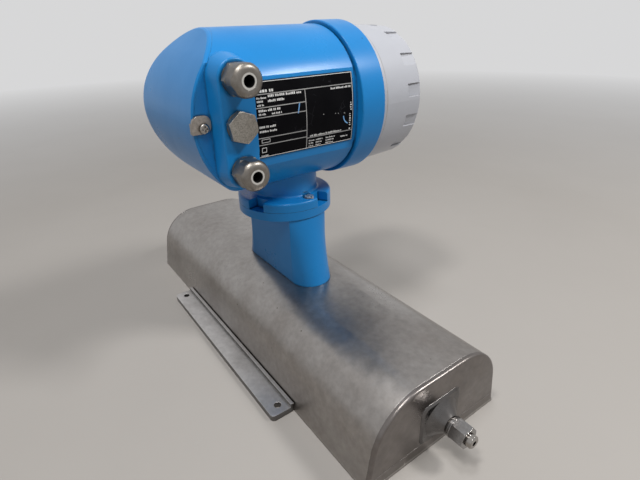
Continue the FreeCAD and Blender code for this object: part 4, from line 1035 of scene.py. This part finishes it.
# Display behind the window: a pale screen with plain bars, and three key rings
displayFace = {
    "screen": (62.0 * mm, 34.0 * mm),
    "screenDepth": 1.5 * mm,
    "screenRise": 8.0 * mm,
    "panelThickness": 0.8 * mm,
    "panelBevel": 0.25 * mm,
    "panelBevelSteps": 2,
    "topMargin": 4.0 * mm,
    "startMargin": 5.0 * mm,
    "endMargin": 10.0 * mm,
    "rowHeights": (5.0 * mm, 3.0 * mm, 3.0 * mm, 3.0 * mm),
    "rowGap": 2.0 * mm,
    "barShare": 0.8,  # of the row's height
    "barLengths": (2.0 * mm, 4.0 * mm),
    "barGap": 1.0 * mm,
    "barThickness": 0.1 * mm,
    "seed": 8,
    "keyPitch": 20.0 * mm,
    "keyDrop": 30.0 * mm,
    "keyRadius": 4.2 * mm,
    "keyDepth": 1.0 * mm,
    "ringWidth": 0.7 * mm,
    "ringRise": 0.5 * mm,
    "ringSteps": 32,
}
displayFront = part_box("display_module")[1].y
screenWidth, screenHeight = displayFace["screen"]
screenMiddle = Vector((0.0, displayFront - displayFace["screenDepth"], bodyAxis + displayFace["screenRise"]))


def makeDisplayPanel():
    mesh = bmesh.new()
    thickness = displayFace["panelThickness"]
    size = Matrix.Diagonal((screenWidth, thickness, screenHeight, 1.0))
    place = Matrix.Translation(screenMiddle + Vector((0.0, thickness / 2, 0.0)))
    bmesh.ops.create_cube(mesh, size=1.0, matrix=place @ size)
    bmesh.ops.bevel(mesh, geom=mesh.edges[:], offset=displayFace["panelBevel"],
                    segments=displayFace["panelBevelSteps"], profile=0.5, affect="EDGES", material=-1)
    addPiece("display_panel", mesh, displayScreen, "transmitter")


def makeDisplayBars():
    mesh = bmesh.new()
    draw = random.Random(displayFace["seed"])
    thickness = displayFace["barThickness"]
    row = screenHeight / 2 - displayFace["topMargin"]
    for height in displayFace["rowHeights"]:
        row -= height
        place = -screenWidth / 2 + displayFace["startMargin"]
        while place < screenWidth / 2 - displayFace["endMargin"]:
            length = draw.uniform(*displayFace["barLengths"])
            offset = Vector((-place - length / 2, displayFace["panelThickness"], row + height / 2))
            size = Matrix.Diagonal((length, thickness, displayFace["barShare"] * height, 1.0))
            bmesh.ops.create_cube(mesh, size=1.0, matrix=Matrix.Translation(screenMiddle + offset) @ size)
            place += length + displayFace["barGap"]
        row -= displayFace["rowGap"]
    addPiece("display_bars", mesh, darkPlastic, "transmitter")


def makeDisplayKeys():
    mesh = bmesh.new()
    outer = displayFace["keyRadius"]
    inner = outer - displayFace["ringWidth"]
    rise = displayFace["ringRise"]
    for step in (-1, 0, 1):
        centre = Vector((step * displayFace["keyPitch"], displayFront - displayFace["keyDepth"],
                         bodyAxis - displayFace["keyDrop"]))
        corners = [(outer, 0.0), (outer, rise), (inner, rise), (inner, 0.0)]
        verts = [mesh.verts.new(centre + Vector((reach, lift, 0.0))) for reach, lift in corners]
        edges = [mesh.edges.new((verts[index - 1], verts[index])) for index in range(len(verts))]
        bmesh.ops.spin(mesh, geom=verts + edges, cent=centre, axis=(0.0, 1.0, 0.0), dvec=(0.0, 0.0, 0.0),
                       angle=2 * math.pi, steps=displayFace["ringSteps"], use_merge=True)
    bmesh.ops.remove_doubles(mesh, verts=mesh.verts, dist=mergeDistance)
    addPiece("display_keys", mesh, palePlastic, "transmitter")


makeDisplayPanel()
makeDisplayBars()
makeDisplayKeys()
print("display fitted")

# Floor, lights and world
studio = {
    "floorRadius": 9.0,
    "floorSides": 96,
    "floorColour": rgb(0.400, 0.378, 0.356),
    "floorShade": rgb(0.372, 0.351, 0.330),
    "floorCloudScale": 1.5,
    "floorRoughness": (0.55, 0.7),
    "fade": (0.6, 2.6),  # metres from the middle, where the floor passes into the background
    "ambient": 0.18,
    "background": rgb(0.68, 0.68, 0.685),
    "aim": (0.0, 0.0, 0.15),
    "lights": [  # name, place, width, power, colour
        ("keyLight", (0.25, -0.68, 1.80), 0.25, 11.0, (1.0, 0.98, 0.95)),
        ("fillLight", (0.85, -0.45, 1.65), 0.40, 7.0, (1.0, 0.99, 0.97)),
        ("topLight", (0.02, -0.24, 2.00), 0.30, 7.5, (0.97, 0.98, 1.0)),
        ("endLight", (0.95, 0.90, 1.45), 0.30, 17.5, (1.0, 0.99, 0.97)),
    ],
}


def seenRays(tree):
    rays = addNode(tree, "LightPath")
    seen = addMath(tree, "MAXIMUM", rays.outputs["Is Camera Ray"], rays.outputs["Is Glossy Ray"])
    return addMath(tree, "MAXIMUM", seen, rays.outputs["Is Transmission Ray"])


def makeFloorFinish():
    material, tree, shader, place = newMaterial("paleFloor")
    cloud = addClouds(tree, place, studio["floorCloudScale"])
    tone = mixColour(tree, cloud, studio["floorColour"], studio["floorShade"])
    feed(tree, shader.inputs["Base Color"], tone)
    spreadRoughness(tree, shader, cloud, studio["floorRoughness"])
    distance = addSpan(tree, addLength(tree, place), *studio["fade"])
    far = addMath(tree, "MULTIPLY", distance, seenRays(tree))
    glow = addNode(tree, "Emission", {"Color": studio["background"]})
    blend = addNode(tree, "MixShader", {0: far, 1: shader.outputs[0], 2: glow})
    feed(tree, tree.nodes["Material Output"].inputs["Surface"], blend)
    return material


def makeFloor():
    mesh = bmesh.new()
    bmesh.ops.create_circle(mesh, cap_ends=True, segments=studio["floorSides"], radius=studio["floorRadius"])
    data = bpy.data.meshes.new("floor")
    mesh.to_mesh(data)
    mesh.free()
    data.materials.append(makeFloorFinish())
    floor = bpy.data.objects.new("floor", data)
    bpy.context.collection.objects.link(floor)


def makeLights():
    for name, place, width, power, colour in studio["lights"]:
        data = bpy.data.lights.new(name, "AREA")
        data.size = width
        data.energy = power
        data.color = colour
        light = bpy.data.objects.new(name, data)
        facing = (Vector(studio["aim"]) - Vector(place)).to_track_quat("-Z", "Y")
        light.matrix_world = Matrix.Translation(place) @ facing.to_matrix().to_4x4()
        bpy.context.collection.objects.link(light)


def makeWorld():
    world = bpy.data.worlds.new("studioWorld")
    world.use_nodes = True
    bpy.context.scene.world = world
    tree = world.node_tree
    backdrop = tree.nodes["Background"]
    feed(tree, backdrop.inputs["Color"], studio["background"])
    dim = studio["ambient"] / studio["background"][0]
    feed(tree, backdrop.inputs["Strength"], addSpan(tree, seenRays(tree), 0.0, 1.0, dim, 1.0))


makeFloor()
makeLights()
makeWorld()
print("studio lit")
